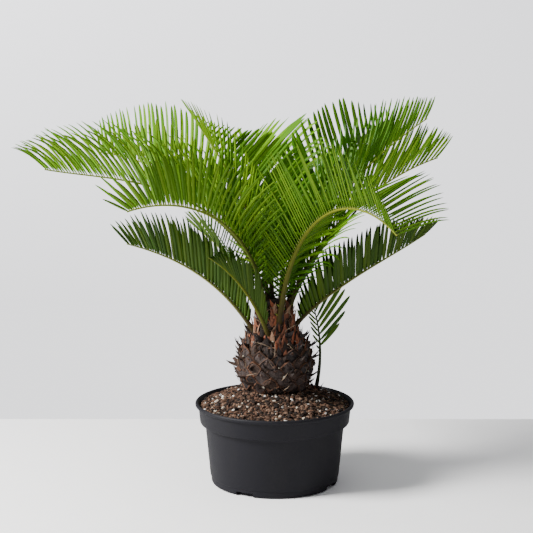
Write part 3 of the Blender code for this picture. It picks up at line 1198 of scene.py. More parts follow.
    def _vary(self, share: float, sign: int, trait: Trait) -> float:
        """How far a leaflet differs in one trait: like its neighbours, apart from the jitter.

        Args:
            share: Share of the leafy stretch.
            sign: 1 or -1 for the row.
            trait: The trait.

        Returns:
            The difference.
        """
        channel, drift, jitter = trait.value
        row = self.frond.azimuth + RULE.drift_step * channel
        place = Vector((share * RULE.drift_pace, row, RULE.drift_side * sign))
        varied = drift * RULE.drift_gain * noise.noise(place)
        return varied + self.chance.gauss(0, jitter) if jitter else varied

    def _add_spines(self, bed: BladeBed) -> None:
        """Short spines on both edges of the bare foot of the rib.

        Args:
            bed: The frond's bed.
        """
        frond, chance = self.frond, self.chance
        count = max(0, int((frond.bare * frond.length - RULE.spine_start) / RULE.spine_pitch))
        for index in range(count):
            place = (RULE.spine_start + index * RULE.spine_pitch) / frond.length
            point, forward, upward, side = self.at(place)
            for sign in (1, -1):
                if chance.random() < RULE.spine_missing:
                    continue
                heading = forward * RULE.spine_forward + side * sign + upward * RULE.spine_up
                edge = sign * RULE.spine_root * frond.rib_half(place, RULE.rib_half_width)
                root = point + side * edge
                length = chance.uniform(*RULE.spine_length)
                line = BentLine(root, length, lambda part, way=heading: way, forward * -sign)
                bed.blades.append(Blade(line.section, *RULE.spine_half, (0, 0, 0)))

    def grow(self) -> None:
        """Make the frond's two pieces."""
        name, palette = self.frond.name, self.palette
        slot = Slot.OLD if self.frond.age is Age.DARK else Slot.YOUNG
        greens, angle = palette.leaflets, RULE.keel_angle
        add_piece(f"{name}_leaflets", self.leaflets(), greens, slot, (name,), angle)
        finish = palette.dim_rib if self.frond.dim_rib else palette.rib
        add_piece(f"{name}_rib", self.rib(), [finish], slot, (name,), None)


@dataclass
class Crown:
    """All fronds of the plant, with a palette for each age.

    Rows are those to the left and to the right of someone who looks along the rib to its tip. The
    greens are those of a leaflet's upper and under face. Stalks are the colours of a leaflet's root
    and of the rib at its foot, in the middle, at its tip and underneath.
    """

    roughness: float = 0.40
    under_roughness: float = 0.52
    coat: float = 0.04
    under_coat: float = 0.02
    greens: dict[Age, tuple[Colour, Colour]] = field(default_factory=lambda: {
        Age.BRIGHT: ((0.100, 0.250, 0.004), (0.122, 0.264, 0.008)),
        Age.FRESH: ((0.146, 0.368, 0.006), (0.198, 0.412, 0.014)),
        Age.MID: ((0.104, 0.300, 0.008), (0.158, 0.352, 0.018)),
        Age.DEEP: ((0.045, 0.150, 0.010), (0.085, 0.200, 0.020)),
        Age.DARK: ((0.040, 0.104, 0.007), (0.068, 0.138, 0.013)),
    })
    young_stalk: tuple[Colour, ...] = (
        (0.34, 0.42, 0.07), (0.060, 0.046, 0.016), (0.10, 0.12, 0.018), (0.30, 0.40, 0.04),
        (0.34, 0.44, 0.06),
    )
    stalks: dict[Age, tuple[Colour, ...]] = field(default_factory=lambda: {
        Age.DEEP: (
            (0.08, 0.12, 0.03), (0.020, 0.016, 0.008), (0.026, 0.038, 0.010), (0.05, 0.085, 0.018),
            (0.07, 0.11, 0.03),
        ),
        Age.DARK: (
            (0.16, 0.20, 0.05), (0.07, 0.048, 0.016), (0.12, 0.13, 0.020), (0.20, 0.26, 0.035),
            (0.72, 0.78, 0.26),
        ),
    })
    dim_rib: tuple[Colour, ...] = (
        (0.075, 0.052, 0.012), (0.12, 0.13, 0.010), (0.26, 0.30, 0.014), (0.20, 0.24, 0.014),
    )
    fronds: tuple[Frond, ...] = (
        Frond(
            "frond_left_low", 190, 190, 0.182, 58, 7, 1.14, 0.191, 0.072, Age.DARK, sway=3, bare=0.07,
            upturn=9, pitch=0.0052, left=Row(46, -14, 24, 8, 0.0, 0.2, reach=0.9, slim=0.94, fine=True),
            right=Row(54, -14, 34, 8, 0.0, 0.2, reach=0.88, slim=0.94, fine=True),
        ),
        Frond(
            "frond_right_low", 4, 4, 0.187, 53, 21, 0.52, 0.194, 0.066, Age.DARK, sway=11, bare=0.07,
            upturn=11, pitch=0.0052, left=Row(70, 20, 38, 5, 0.0, 0.1, reach=0.84, slim=1.1, fine=True),
            right=Row(74, 6, 50, 6, 0.0, 0.1, reach=0.88, slim=1.1, fine=True),
        ),
        Frond(
            "frond_front_left_low", 225, 255, 0.180, 64, 29, 1.1, 0.145, 0.062, Age.DARK, bare=0.1,
            pitch=0.0048, left=Row(27, -8, 34, 1.6, 0.0, 0.0, reach=0.9, tip_reach=0.08, slim=0.95),
            right=Row(86, -4, 84, 1.5, 0.0, 0.0, reach=1.0, tip_reach=0.08, slim=1.0), dim_rib=True,
        ),
        Frond("frond_back_right_low", 60, 62, 0.187, 54, 15, 0.8, 0.190, 0.062, Age.DARK),
        Frond("frond_back_left_low", 122, 118, 0.185, 52, 12, 0.9, 0.190, 0.062, Age.DARK),
        Frond(
            "frond_front_left", 216, 232, 0.197, 88, -26, 1.18, 0.262, 0.100, Age.BRIGHT, sway=-12,
            upturn=10, girth=1.12, pitch=0.0054,
            left=Row(
                48, -20, 18, 12, 0.04, 0.08, lift=-18, reach=0.92, slim=1.02, foot_curl=-0.5,
                foot_slim=0.5, foot_span=0.7,
            ),
            right=Row(92, -2, 36, 8, 0.04, 0.08, slim=1.02, foot_lift=-60, foot_reach=0.45),
        ),
        Frond(
            "frond_front_right", 300, 284, 0.194, 78, -35, 1.3, 0.310, 0.100, Age.BRIGHT, sway=5,
            bare=0.12, girth=1.16, pitch=0.0044,
            left=Row(
                34, -60, 14, 6, 0.0, 0.35, lift=-44, tip_lift=-18, reach=0.70, tip_reach=1.6, slim=0.66,
                lean=38, foot_curl=-0.9, foot_reach=0.3, foot_slim=0.5, foot_span=0.6, fine=True,
            ),
            right=Row(50, -16, -44, 4, 0.02, 0.0, slim=0.72, foot_slim=0.6, foot_span=0.3, lean=26),
            dim_rib=True,
        ),
        Frond(
            "frond_left", 174, 188, 0.202, 100, -28, 0.75, 0.342, 0.082, Age.FRESH, sway=18, upturn=40,
            pitch=0.0066,
            left=Row(56, -6, 22, 5, 0.1, 0.95, lift=-14, reach=1.25, slim=0.74, fine=True),
            right=Row(45, -16, 18, 6, 0.05, 0.95, reach=1.25, slim=0.74, fine=True),
        ),
        Frond(
            "frond_right", 12, 350, 0.203, 85, 22, 0.61, 0.269, 0.088, Age.FRESH, upturn=-5, bare=0.08,
            pitch=0.0064,
            left=Row(
                30, -2, 0, 1, -0.1, -0.15, reach=1.25, tip_reach=0.7, slim=0.86, foot_reach=0.6,
                foot_span=0.3, fine=True,
            ),
            right=Row(
                36, -8, 0, 1, -0.1, -0.15, lift=-16, reach=1.2, tip_reach=0.7, slim=0.78, foot_lift=-66,
                foot_reach=0.72, foot_curl=-0.55, foot_slim=0.7, foot_span=0.5, fine=True,
            ),
        ),
        Frond(
            "frond_back_left", 149, 162, 0.206, 98, -1, 0.62, 0.316, 0.096, Age.FRESH, sway=7, upturn=7,
            bare=0.08, pitch=0.0062, left=Row(88, -12, 0, 1, 0.05, 0.1, reach=0.9, slim=1.0),
            right=Row(60, 0, 0, 1, 0.04, 0.12, tip_reach=1.12, slim=1.14),
        ),
        Frond(
            "frond_left_upright", 162, 136, 0.217, 86, 40, 1.08, 0.235, 0.086, Age.FRESH, sway=-2,
            upturn=14, bare=0.08, pitch=0.0060,
            left=Row(66, 10, 56, 3, 0.1, 0.2, reach=0.8, slim=0.72, fine=True),
            right=Row(44, -36, 0, 1, 0.0, -0.12, reach=1.38, tip_reach=0.1, slim=1.15),
        ),
        Frond(
            "frond_back", 104, 104, 0.213, 88, 13, 0.9, 0.240, 0.096, Age.FRESH, roll=14, bare=0.03,
            pitch=0.0058, left=Row(72, 14, 26, 4, 0.2, 0.2, reach=0.7),
            right=Row(76, 6, 26, 4, -0.05, -0.3, reach=1.12, slim=2.1, foot_slim=0.33, foot_span=0.7),
        ),
        Frond(
            "frond_back_centre", 75, 72, 0.199, 84, -10, 0.9, 0.240, 0.085, Age.MID, bare=0.03,
            pitch=0.0060, left=Row(reach=0.75), right=Row(70, 16, 30, 4, 0.25, 0.25),
        ),
        Frond(
            "frond_back_right", 40, 52, 0.212, 91, 18, 0.65, 0.280, 0.100, Age.MID, bare=0.20,
            pitch=0.0084, left=Row(46, -20, 8, 6, 0.02, 0.1, reach=0.95, tip_reach=0.85, slim=1.5),
            right=Row(95, -20, 0, 1, 0.0, 0.1, reach=0.8, slim=1.3),
        ),
        Frond(
            "frond_right_upright", 16, 20, 0.208, 86, 31, 0.6, 0.292, 0.084, Age.MID, bare=0.08,
            pitch=0.0068,
            left=Row(26, -4, 0, 1, -0.1, -0.15, reach=1.2, tip_reach=0.7, slim=0.88, fine=True),
            right=Row(
                42, -4, 0, 1, -0.1, -0.15, lift=-22, reach=1.1, tip_reach=0.7, slim=0.86, fine=True,
            ),
        ),
        Frond(
            "offset_frond", 10, 16, 0.105, 76, 108, 1.0, 0.109, 0.045, Age.DEEP, roll=-80, vee=15,
            bare=0.48, seat_radius=0.0505, girth=0.95, pitch=0.0070,
            left=Row(58, 6, 9, 3, 0.0, 0.1, reach=1.35, slim=1.5),
            right=Row(34, 0, 10, 3, 0.0, 0.1, reach=0.36, slim=0.9), spiny=False,
        ),
    )

    def palette(self, age: Age) -> LeafPalette:
        """Finishes for one age.

        Args:
            age: The age.

        Returns:
            Its palette.
        """
        name, (upper, under) = age.value, self.greens[age]
        root, *stalk = self.stalks.get(age, self.young_stalk)
        leaflets = (
            LeafletFinish(f"{name}_root", root),
            *LeafPalette.greens(f"{name}_upper", upper, self.roughness, self.coat),
            *LeafPalette.greens(f"{name}_under", under, self.under_roughness, self.under_coat),
        )
        dim_rib = RibFinish(f"{name}_dim_rib", *self.dim_rib)
        return LeafPalette(leaflets, RibFinish(f"{name}_rib", *stalk), dim_rib)

    def build(self) -> None:
        """Grow every frond."""
        for frond in self.fronds:
            FrondGrower(frond, self.palette(frond.age)).grow()


@dataclass(frozen=True)
class Growth:
    """One kind of blade on the trunk: how many, and the least and greatest of its sizes.

    Blades stand at the share seat of the trunk's radius, and crowding below 1 lays more of them
    high up. Spread, sway and twist are deviations of the azimuth, of the direction round the trunk
    and of the turn about the blade's line. Outward and upward are parts of its direction.
    """

    count: int
    heights: Span
    length: Span
    half_width: Span
    half_depth: Span
    bend: Span = (0.0, 0.0)
    seat: float = 1.0
    crowding: float = 1.0
    spread: float = 0.0
    sway: float = 0.0
    twist: float = 0.0
    outward: Span = (0.0, 0.0)
    upward: Span = (0.0, 0.0)

    def height(self, share: float) -> float:
        """Height of a blade."""
        low, high = self.heights
        return low + (high - low) * share ** self.crowding


@dataclass
class Caudex:
    """The swollen trunk: a core under old leaf bases, with stubs, scale leaves and fibres."""

    SIDE = (
        (0.1128, 0.0355), (0.122, 0.0405), (0.132, 0.0440), (0.145, 0.0450), (0.160, 0.0420),
        (0.169, 0.0370), (0.1785, 0.0300), (0.194, 0.0235), (0.207, 0.0200), (0.220, 0.0120),
    )
    GOLDEN_ANGLE = math.radians(137.508)
    BASE_RINGS = (
        (1.0, 1.0, 0.0, 0), (0.45, 0.92, 0.03, 0), (0.12, 0.90, 0.02, 0), (-0.14, 0.90, 0.0, 1),
        (0.32, 0.62, 0.20, 1), (0.42, 0.45, 0.16, 1), (0.10, 0.60, 0.03, 2),
    )

    base_heights: Span = (0.1165, 0.178)
    base_width: float = 0.0218
    base_height: float = 0.0205
    base_depth: float = 0.0026
    base_lift: float = 0.0034
    base_sink: float = 0.0024
    base_overlap: float = 0.80
    base_ragged: float = 0.00052
    base_slip: float = 0.0006
    base_full_radius: float = 0.045
    base_turn: float = 0.14
    base_widths: Span = (0.86, 1.08)
    base_heights_range: Span = (0.85, 1.12)
    base_depths: Span = (0.6, 1.25)
    base_lifts: Span = (0.3, 1.9)
    base_lift_power: float = 1.6
    base_corner: float = 0.80
    base_off_axis: float = 0.1
    core_steps: int = 60
    core_cuts: int = 2
    core_sink: float = 0.0012
    core_top: float = 0.002
    core_flat_foot: float = 0.001
    core_dent: float = 0.0012
    core_dent_scale: float = 130.0
    slope_step: float = 0.004
    slope_share: float = 0.6
    stubs: Growth = Growth(
        72, (0.122, 0.184), (0.008, 0.0175), (0.0020, 0.0040), (0.0009, 0.0017), (0.6, 2.2), seat=0.98,
        crowding=0.6, spread=0.2, sway=0.25, twist=0.5,
    )
    stub_stride: float = 1.7
    stub_lean: Span = (-5.0, 40.0)
    scale_leaves: Growth = Growth(
        270, (0.158, 0.212), (0.009, 0.021), (0.0013, 0.0034), (0.0006, 0.0011), (-0.7, 1.0), seat=0.95,
        spread=0.15, sway=0.26, twist=0.4, outward=(-0.02, 0.6),
    )
    scale_leaf_loss: float = 0.2
    scale_leaf_rise: float = 0.4
    scale_leaf_dark_share: float = 0.12
    fibres: Growth = Growth(
        300, (0.118, 0.215), (0.008, 0.024), (0.00014, 0.00032), (0.00014, 0.00032), crowding=0.75,
        sway=0.9, outward=(0.1, 0.7), upward=(0.2, 1.2),
    )
    fibre_lift: float = 0.0015
    fibre_droop: float = 0.9
    straw_count: int = 26
    straw_half: Span = (0.00035, 0.00070)
    sheath: Growth = Growth(
        16, (0.104, 0.104), (0.007, 0.017), (0.0010, 0.0022), (0.0007, 0.0007), outward=(0.1, 0.8)
    )
    sheath_bend: float = 0.3
    sheath_azimuth: float = math.radians(16)
    sheath_radius: float = 0.0505
    sheath_spread: float = 0.0026
    flecks: Growth = Growth(
        34, (0.118, 0.178), (2.2, 2.2), (0.0008, 0.0017), (0.8, 0.8), seat=1.03, sway=0.6
    )
    blade_angle: float = 50.0
    seed: int = 11
    chance: random.Random = field(init=False)

    def __post_init__(self) -> None:
        """Seed the chance."""
        self.chance = random.Random(self.seed)

    def place(self, azimuth: float, height: float, share: float = 1.0) -> Frame:
        """A place on the trunk's side.

        Args:
            azimuth: Angle about the axis in radians.
            height: Height above the floor.
            share: Share of the trunk's radius.

        Returns:
            The point, the way out, the way round and the way up along the side.
        """
        step, radius = self.slope_step, between(self.SIDE, height)
        slope = (between(self.SIDE, height + step) - between(self.SIDE, height - step)) / (2 * step)
        way, level = radial(azimuth), Vector((-math.sin(azimuth), math.cos(azimuth), 0))
        out = (way - UP * (slope * self.slope_share)).normalized()
        return way * (radius * share) + UP * height, out, level, out.cross(level)

    def core(self) -> BMesh:
        """The body under the leaf bases, turned from its side and dented.

        Returns:
            Its mesh.
        """
        foot, top = self.SIDE[0][0], self.SIDE[-1][0]
        side = [(radius - self.core_sink, height) for height, radius in self.SIDE]
        bm = turned([(0.0, foot), *side, (0.0, top + self.core_top)], self.core_steps, self.core_cuts)
        for vert in bm.verts:
            if vert.co.z > foot + self.core_flat_foot:
                dent = noise.noise(vert.co * self.core_dent_scale) * self.core_dent
                vert.co += vert.normal * dent
        return bm

    def leaf_base_shape(self) -> bpy.types.Mesh:
        """One leaf base: a thick diamond with a rim and a sunken scar.

        Each ring of BASE_RINGS has its rise, its ratio to the one before, its shift towards the tip
        and the material index of its faces: rim, scar or the scar's middle.

        Returns:
            Its unit mesh, facing +Z with its tip towards +Y.
        """
        bm = bmesh.new()
        bmesh.ops.create_circle(bm, cap_ends=True, radius=1.0, segments=8)
        for vert in bm.verts:
            if min(abs(vert.co.x), abs(vert.co.y)) > self.base_off_axis:
                vert.co *= self.base_corner
        bmesh.ops.recalc_face_normals(bm, faces=bm.faces)
        face = bm.faces[:][0]
        if face.normal.z < 0:
            bmesh.ops.reverse_faces(bm, faces=[face])
        bmesh.ops.translate(bm, vec=-UP, verts=bm.verts)
        for rise, ratio, shift, tint in self.BASE_RINGS:
            face = bmesh.ops.extrude_discrete_faces(bm, faces=[face])["faces"][0]
            corners = face.verts[:]
            middle = sum((vert.co for vert in corners), Vector()) / len(corners)
            bmesh.ops.scale(bm, vec=(ratio, ratio, 1), verts=corners, space=Matrix.Translation(-middle))
            bmesh.ops.translate(bm, vec=(0, shift, rise), verts=corners)
            for edge in face.edges:
                for side in edge.link_faces:
                    side.material_index = tint
        return mesh_of("leaf_base_shape", bm)

    def leaf_bases(self) -> BMesh:
        """Leaf bases in a golden-angle spiral from the foot to the shoulder.

        Returns:
            One mesh with all of them.
        """
        shape, chance = self.leaf_base_shape(), self.chance
        indices = [face.material_index for face in shape.polygons]
        heights = []
        height, top = self.base_heights
        while height < top:
            heights.append(height)
            area = 0.5 * self.base_width * self.base_height * self.base_overlap
            height += area / (math.tau * between(self.SIDE, height))
        bm = bmesh.new()
        copies = Copies(bm, shape, len(heights))
        for number, height in enumerate(heights):
            slipped = height + chance.gauss(0, self.base_slip)
            point, out, level, up = self.place(number * self.GOLDEN_ANGLE, slipped)
            size = (between(self.SIDE, height) / self.base_full_radius) ** 0.5
            turn = Matrix.Rotation(chance.gauss(0, self.base_turn), 3, out)
            half_width = 0.5 * self.base_width * size * chance.uniform(*self.base_widths)
            half_height = 0.5 * self.base_height * size * chance.uniform(*self.base_heights_range)
            across, along = turn @ level * half_width, turn @ up * half_height
            depth = self.base_depth * chance.uniform(*self.base_depths)
            lift = self.base_lift * chance.uniform(*self.base_lifts)

            def place(corner: Vector) -> Vector:
                """Lay a corner on the trunk.

                Args:
                    corner: Its place on the unit leaf base.

                Returns:
                    Its place on the trunk.
                """
                raised = lift * max(0.0, corner.y) ** self.base_lift_power - self.base_sink
                ragged = Vector([chance.gauss(0, 1) for _ in range(3)]) * self.base_ragged
                flat = point + across * corner.x + along * corner.y
                return flat + out * (corner.z * depth + raised) + ragged

            copies.move(number, place)
            tints = (chance.choice((0, 0, 1)), 2 + chance.choice((0, 0, 1, 1, 2)), chance.choice((0, 4)))
            copies.paint(number, (tints[index] for index in indices))
        return bm

    def stub(self, number: int) -> Blade:
        """A broken leaf stalk that stands out of the trunk.

        Args:
            number: Its place in the spiral.

        Returns:
            The stub.
        """
        chance, sizes = self.chance, self.stubs
        azimuth = number * self.GOLDEN_ANGLE * self.stub_stride + chance.gauss(0, sizes.spread)
        point, out, level, _ = self.place(azimuth, sizes.height(number / sizes.count), sizes.seat)
        lean = math.radians(chance.uniform(*self.stub_lean))
        way = out * math.cos(lean) + UP * math.sin(lean) + level * chance.gauss(0, sizes.sway)
        bend = UP * chance.uniform(*sizes.bend)
        length = chance.uniform(*sizes.length)
        line = BentLine(
            point, length, lambda part: way + bend * (part * part), out.cross(way),
            chance.gauss(0, sizes.twist),
        )
        return self.coloured(line, sizes, chance.choice((0, 0, 1, 2)))

    def scale_leaf(self, number: int) -> Blade:
        """A dry scale leaf that stands up between the frond stalks.

        Args:
            number: Its place in the spiral.

        Returns:
            The scale leaf.
        """
        chance, sizes = self.chance, self.scale_leaves
        share = number / sizes.count
        azimuth = number * self.GOLDEN_ANGLE + chance.gauss(0, sizes.spread)
        point, out, level, up = self.place(azimuth, sizes.height(share), sizes.seat)
        way = up + out * chance.uniform(*sizes.outward) + level * chance.gauss(0, sizes.sway)
        bend, rise = out * chance.uniform(*sizes.bend), UP * self.scale_leaf_rise
        length = chance.uniform(*sizes.length) * (1.0 - self.scale_leaf_loss * share)
        line = BentLine(
            point, length, lambda part: way + bend * (part * part) + rise * part, out.cross(way),
            chance.gauss(0, sizes.twist),
        )
        dark = share <= self.scale_leaf_dark_share
        return self.coloured(line, sizes, chance.choice((1, 2, 2) if dark else (0, 0, 1, 1, 1, 2, 2, 3)))

    def fibre(self, number: int) -> Blade:
        """A loose fibre on the crown or across the leaf bases.

        Args:
            number: Its number.

        Returns:
            The fibre.
        """
        chance, sizes = self.chance, self.fibres
        straw = number < self.straw_count
        height = sizes.height(chance.random())
        point, out, level, up = self.place(chance.uniform(0, math.tau), height)
        side = chance.gauss(0, 1.0)
        way = up * chance.uniform(*sizes.upward) + level * side + out * chance.uniform(*sizes.outward)
        bend = level * chance.gauss(0, sizes.sway) - out * self.fibre_droop
        length, root = chance.uniform(*sizes.length), point + out * self.fibre_lift
        line = BentLine(root, length, lambda part: way + bend * part, out.cross(way))
        tint = 2 if straw else chance.choice((0, 0, 1, 2))
        half = chance.uniform(*(self.straw_half if straw else sizes.half_width))
        return Blade(line.section, half, half, (tint,) * 3)

    def sheath_leaf(self, number: int) -> Blade:
        """A dry scale or spike at the foot of the offset frond.

        Args:
            number: Its number.

        Returns:
            The scale.
        """
        chance, sizes = self.chance, self.sheath
        seat, out = radial(self.sheath_azimuth) * self.sheath_radius, radial(number * self.GOLDEN_ANGLE)
        point = seat + out * self.sheath_spread + UP * sizes.heights[0]
        way = UP + out * chance.uniform(*sizes.outward)
        length = chance.uniform(*sizes.length)
        bend = self.sheath_bend
        line = BentLine(point, length, lambda part: way + out * (bend * part), out.cross(way))
        tint = chance.choice((0, 1, 2, 2))
        return Blade(line.section, chance.uniform(*sizes.half_width), sizes.half_depth[0], (tint,) * 3)

    def fleck(self, number: int) -> Blade:
        """A pale crumb that has caught between the leaf bases, with sizes as ratios to its width.

        Args:
            number: Its number.

        Returns:
            The crumb.
        """
        chance, sizes = self.chance, self.flecks
        height = sizes.height(chance.random())
        point, out, level, up = self.place(number * self.GOLDEN_ANGLE, height, sizes.seat)
        way = level + up * chance.gauss(0, sizes.sway)
        size = chance.uniform(*sizes.half_width)
        line = BentLine(point, sizes.length[0] * size, lambda part: way, out.cross(way))
        return Blade(line.section, size, sizes.half_depth[0] * size, (0, 0, 0))

    def coloured(self, line: BentLine, sizes: Growth, tint: int) -> Blade:
        """A blade of one tint with chance sizes."""
        half_width = self.chance.uniform(*sizes.half_width)
        return Blade(line.section, half_width, self.chance.uniform(*sizes.half_depth), (tint,) * 3)

    def build(self) -> None:
        """Make the trunk's pieces."""
        rims = mottled(
            Texture(stretch=0.4, contrast=0.24),
            ("base_rim_brown", (0.008, 0.004, 0.003), (0.130, 0.062, 0.036), 0.8),
            ("base_rim_rust", (0.016, 0.007, 0.005), (0.30, 0.135, 0.074), 0.8),
        )
        scars = mottled(
            Texture(110.0, 520.0, 0.22, 0.22, 0.0014),
            ("scar_grey", (0.006, 0.004, 0.004), (0.135, 0.094, 0.084), 0.6),
            ("scar_black", (0.003, 0.002, 0.002), (0.054, 0.038, 0.036), 0.5),
        )
        scars += mottled(
            Texture(110.0, 520.0, 0.22, 0.3, 0.0012),
            ("scar_brown", (0.012, 0.007, 0.006), (0.140, 0.082, 0.058), 0.7),
        )
        rust, brown, pale = mottled(
            Texture(stretch=0.3, contrast=0.3),
            ("scale_leaf_rust", (0.100, 0.024, 0.011), (0.76, 0.220, 0.098), 0.7),
            ("scale_leaf_brown", (0.040, 0.014, 0.008), (0.46, 0.160, 0.080), 0.75),
            ("scale_leaf_pale", (0.16, 0.070, 0.038), (0.68, 0.40, 0.25), 0.75),
        )
        dark, = mottled(
            Texture(stretch=0.3, contrast=0.18),
            ("scale_leaf_dark", (0.010, 0.007, 0.006), (0.048, 0.026, 0.019), 0.7),
        )
        core, = mottled(
            Texture(relief=0.0006), ("trunk_core", (0.010, 0.007, 0.006), (0.045, 0.024, 0.016), 0.85)
        )
        *straws, fleck = mottled(
            Texture(),
            ("fibre_brown", (0.06, 0.024, 0.013), (0.17, 0.078, 0.042), 0.8),
            ("fibre_black", (0.01, 0.008, 0.007), (0.04, 0.025, 0.02), 0.8),
            ("fibre_straw", (0.20, 0.13, 0.085), (0.45, 0.33, 0.23), 0.8),
            ("fleck_pale", (0.45, 0.38, 0.27), (0.85, 0.80, 0.68), 0.9),
        )
        reds, node, angle = [rust, brown, dark, pale], ("caudex",), self.blade_angle
        add_piece("caudex_core", self.core(), [core], Slot.BASES, node)
        add_piece("caudex_leaf_bases", self.leaf_bases(), [*rims, *scars], Slot.BASES, node, smooth=28.0)
        for name, shape, sizes, make, finishes, replaced, smooth in (
            ("caudex_stubs", STUB_SHAPE, self.stubs, self.stub, [*scars[1:], dark], node, angle),
            ("caudex_flecks", FIBRE_SHAPE, self.flecks, self.fleck, [fleck], node, angle),
            (
                "crown_scale_leaves", SCALE_LEAF_SHAPE, self.scale_leaves, self.scale_leaf, reds, node,
                angle,
            ),
            ("offset_sheath", SCALE_LEAF_SHAPE, self.sheath, self.sheath_leaf, reds, (), angle),
            ("crown_fibres", FIBRE_SHAPE, self.fibres, self.fibre, straws, node, None),
        ):
            bed = BladeBed(shape)
            bed.blades = [make(number) for number in range(sizes.count)]
            add_piece(name, bed.lay(bmesh.new()), finishes, Slot.BASES, replaced, smooth)


@dataclass(frozen=True)
class Lumps:
    """One kind of lump on the mix: how many, their half size and their ratio of length to width."""

    name: str
    count: int
    size: Span
    stretch: Span


@dataclass
class PottingMix:
    """The mound in the pot, and the crumbs, bark slivers and perlite that lie on it."""

    edge_height: float = 0.0932
    top_height: float = 0.1125
    edge_radius: float = 0.0889
    top_radius: float = 0.042
    mound_power: float = 1.25
    bed_bottom: float = 0.086
    bed_rings: int = 24
    bed_steps: int = 96
    bed_roughness: float = 0.0012
    foot_radius: float = 0.036
    bed_scale: float = 150.0
    bed_flat_edge: float = 0.0002
    clod_height: float = 0.0020
    clod_scale: float = 95.0
    size_power: float = 2.2
    edge_gap: float = 1.2
    sink: Span = (-0.3, 0.8)
    tip: float = 0.6
    flatness: Span = (0.5, 0.9)
    ragged: Span = (0.75, 1.25)
    crumbs: Lumps = Lumps("mix_crumbs", 9500, (0.0005, 0.0025), (0.9, 1.7))
    slivers: Lumps = Lumps("mix_bark_slivers", 420, (0.0006, 0.0011), (2.4, 5.0))
    perlite: Lumps = Lumps("mix_perlite", 420, (0.0008, 0.0027), (0.9, 1.3))
    seed: int = 5
    chance: random.Random = field(init=False)

    def __post_init__(self) -> None:
        """Seed the chance."""
        self.chance = random.Random(self.seed)

    def height(self, radius: float) -> float:
        """Height of the mound."""
        share = min(1.0, max(0.0, (self.edge_radius - radius) / (self.edge_radius - self.top_radius)))
        return self.edge_height + (self.top_height - self.edge_height) * share ** self.mound_power

    def clod(self, point: Vector) -> float:
        """How far a clod raises the mix."""
        level = Vector((point.x, point.y, 0))
        return self.clod_height * max(0.0, noise.noise(level * self.clod_scale))

    def bed(self) -> BMesh:
        """The mix itself: a flat-bottomed mound that is turned from its side and made uneven.

        Returns:
            Its mesh.
        """
        radii = [self.edge_radius * index / self.bed_rings for index in range(self.bed_rings, -1, -1)]
        profile = [(0.0, self.bed_bottom), (self.edge_radius, self.bed_bottom)]
        bm = turned(profile + [(radius, self.height(radius)) for radius in radii], self.bed_steps)
        for vert in bm.verts:
            if vert.co.z > self.edge_height + self.bed_flat_edge:
                rough = self.bed_roughness * noise.noise(vert.co * self.bed_scale)
                vert.co.z += rough + self.clod(vert.co)
        return bm

    def scatter(self, lumps: Lumps, tints: int) -> BMesh:
        """Lay many lumps on the mound.

        Args:
            lumps: Their kind.
            tints: How many tints are dealt out.

        Returns:
            One mesh with all of them.
        """
        chunk = bmesh.new()
        bmesh.ops.create_icosphere(chunk, subdivisions=1, radius=1.0)
        bm, chance = bmesh.new(), self.chance
        copies = Copies(bm, mesh_of("chunk_shape", chunk), lumps.count)
        for number in range(lumps.count):
            low, high = lumps.size
            half = low + (high - low) * chance.random() ** self.size_power
            outer = self.edge_radius - half * self.edge_gap
            radius = math.sqrt(chance.uniform(self.foot_radius ** 2, outer * outer))
            azimuth = chance.uniform(0, math.tau)
            height = self.height(radius) + half * chance.uniform(*self.sink)
            centre = Vector((radius * math.cos(azimuth), radius * math.sin(azimuth), height))
            centre.z += self.clod(centre)
            turn = Matrix.Rotation(chance.uniform(0, math.tau), 3, "Z")
            turn = Matrix.Rotation(chance.gauss(0, self.tip), 3, "X") @ turn
            long, flat = chance.uniform(*lumps.stretch), chance.uniform(*self.flatness)

            def place(corner: Vector) -> Vector:
                """Lay a corner on the mound."""
                lump = Vector((corner.x * long, corner.y, corner.z * flat))
                return centre + turn @ (lump * (half * chance.uniform(*self.ragged)))

            copies.move(number, place)
            copies.paint(number, [chance.randrange(tints)] * copies.faces)
        return bm

    def build(self) -> None:
        """Make the mound and lay what is on it."""
        soil = mottled(
            Texture(260.0, 900.0, 1.0, 0.14, 0.0015, 700.0, 250.0),
            ("mix_bed", (0.018, 0.010, 0.007), (0.11, 0.062, 0.042), 0.95),
        )
        brown = mottled(
            Texture(relief=0.0005),
            ("crumb_dark", (0.010, 0.006, 0.004), (0.044, 0.024, 0.016), 0.95),
            ("crumb_brown", (0.040, 0.021, 0.014), (0.150, 0.078, 0.049), 0.95),
            ("crumb_rust", (0.070, 0.035, 0.022), (0.26, 0.135, 0.084), 0.95),
            ("crumb_black", (0.006, 0.004, 0.004), (0.024, 0.014, 0.011), 0.9),
            ("crumb_fawn", (0.12, 0.068, 0.044), (0.34, 0.21, 0.14), 0.95),
        )
        white = mottled(
            Texture(relief=0.0003), ("perlite_white", (0.90, 0.86, 0.79), (1.0, 0.98, 0.94), 0.9)
        )
        white += mottled(
            Texture(relief=0.0004), ("perlite_cream", (0.62, 0.52, 0.40), (0.90, 0.80, 0.66), 0.9)
        )
        add_piece("mix_bed", self.bed(), soil, Slot.MIX, ("potting_mix",), smooth=60.0)
        for lumps, finishes in ((self.crumbs, brown), (self.slivers, brown), (self.perlite, white)):
            add_piece(lumps.name, self.scatter(lumps, len(finishes)), finishes, Slot.MIX, (), None)


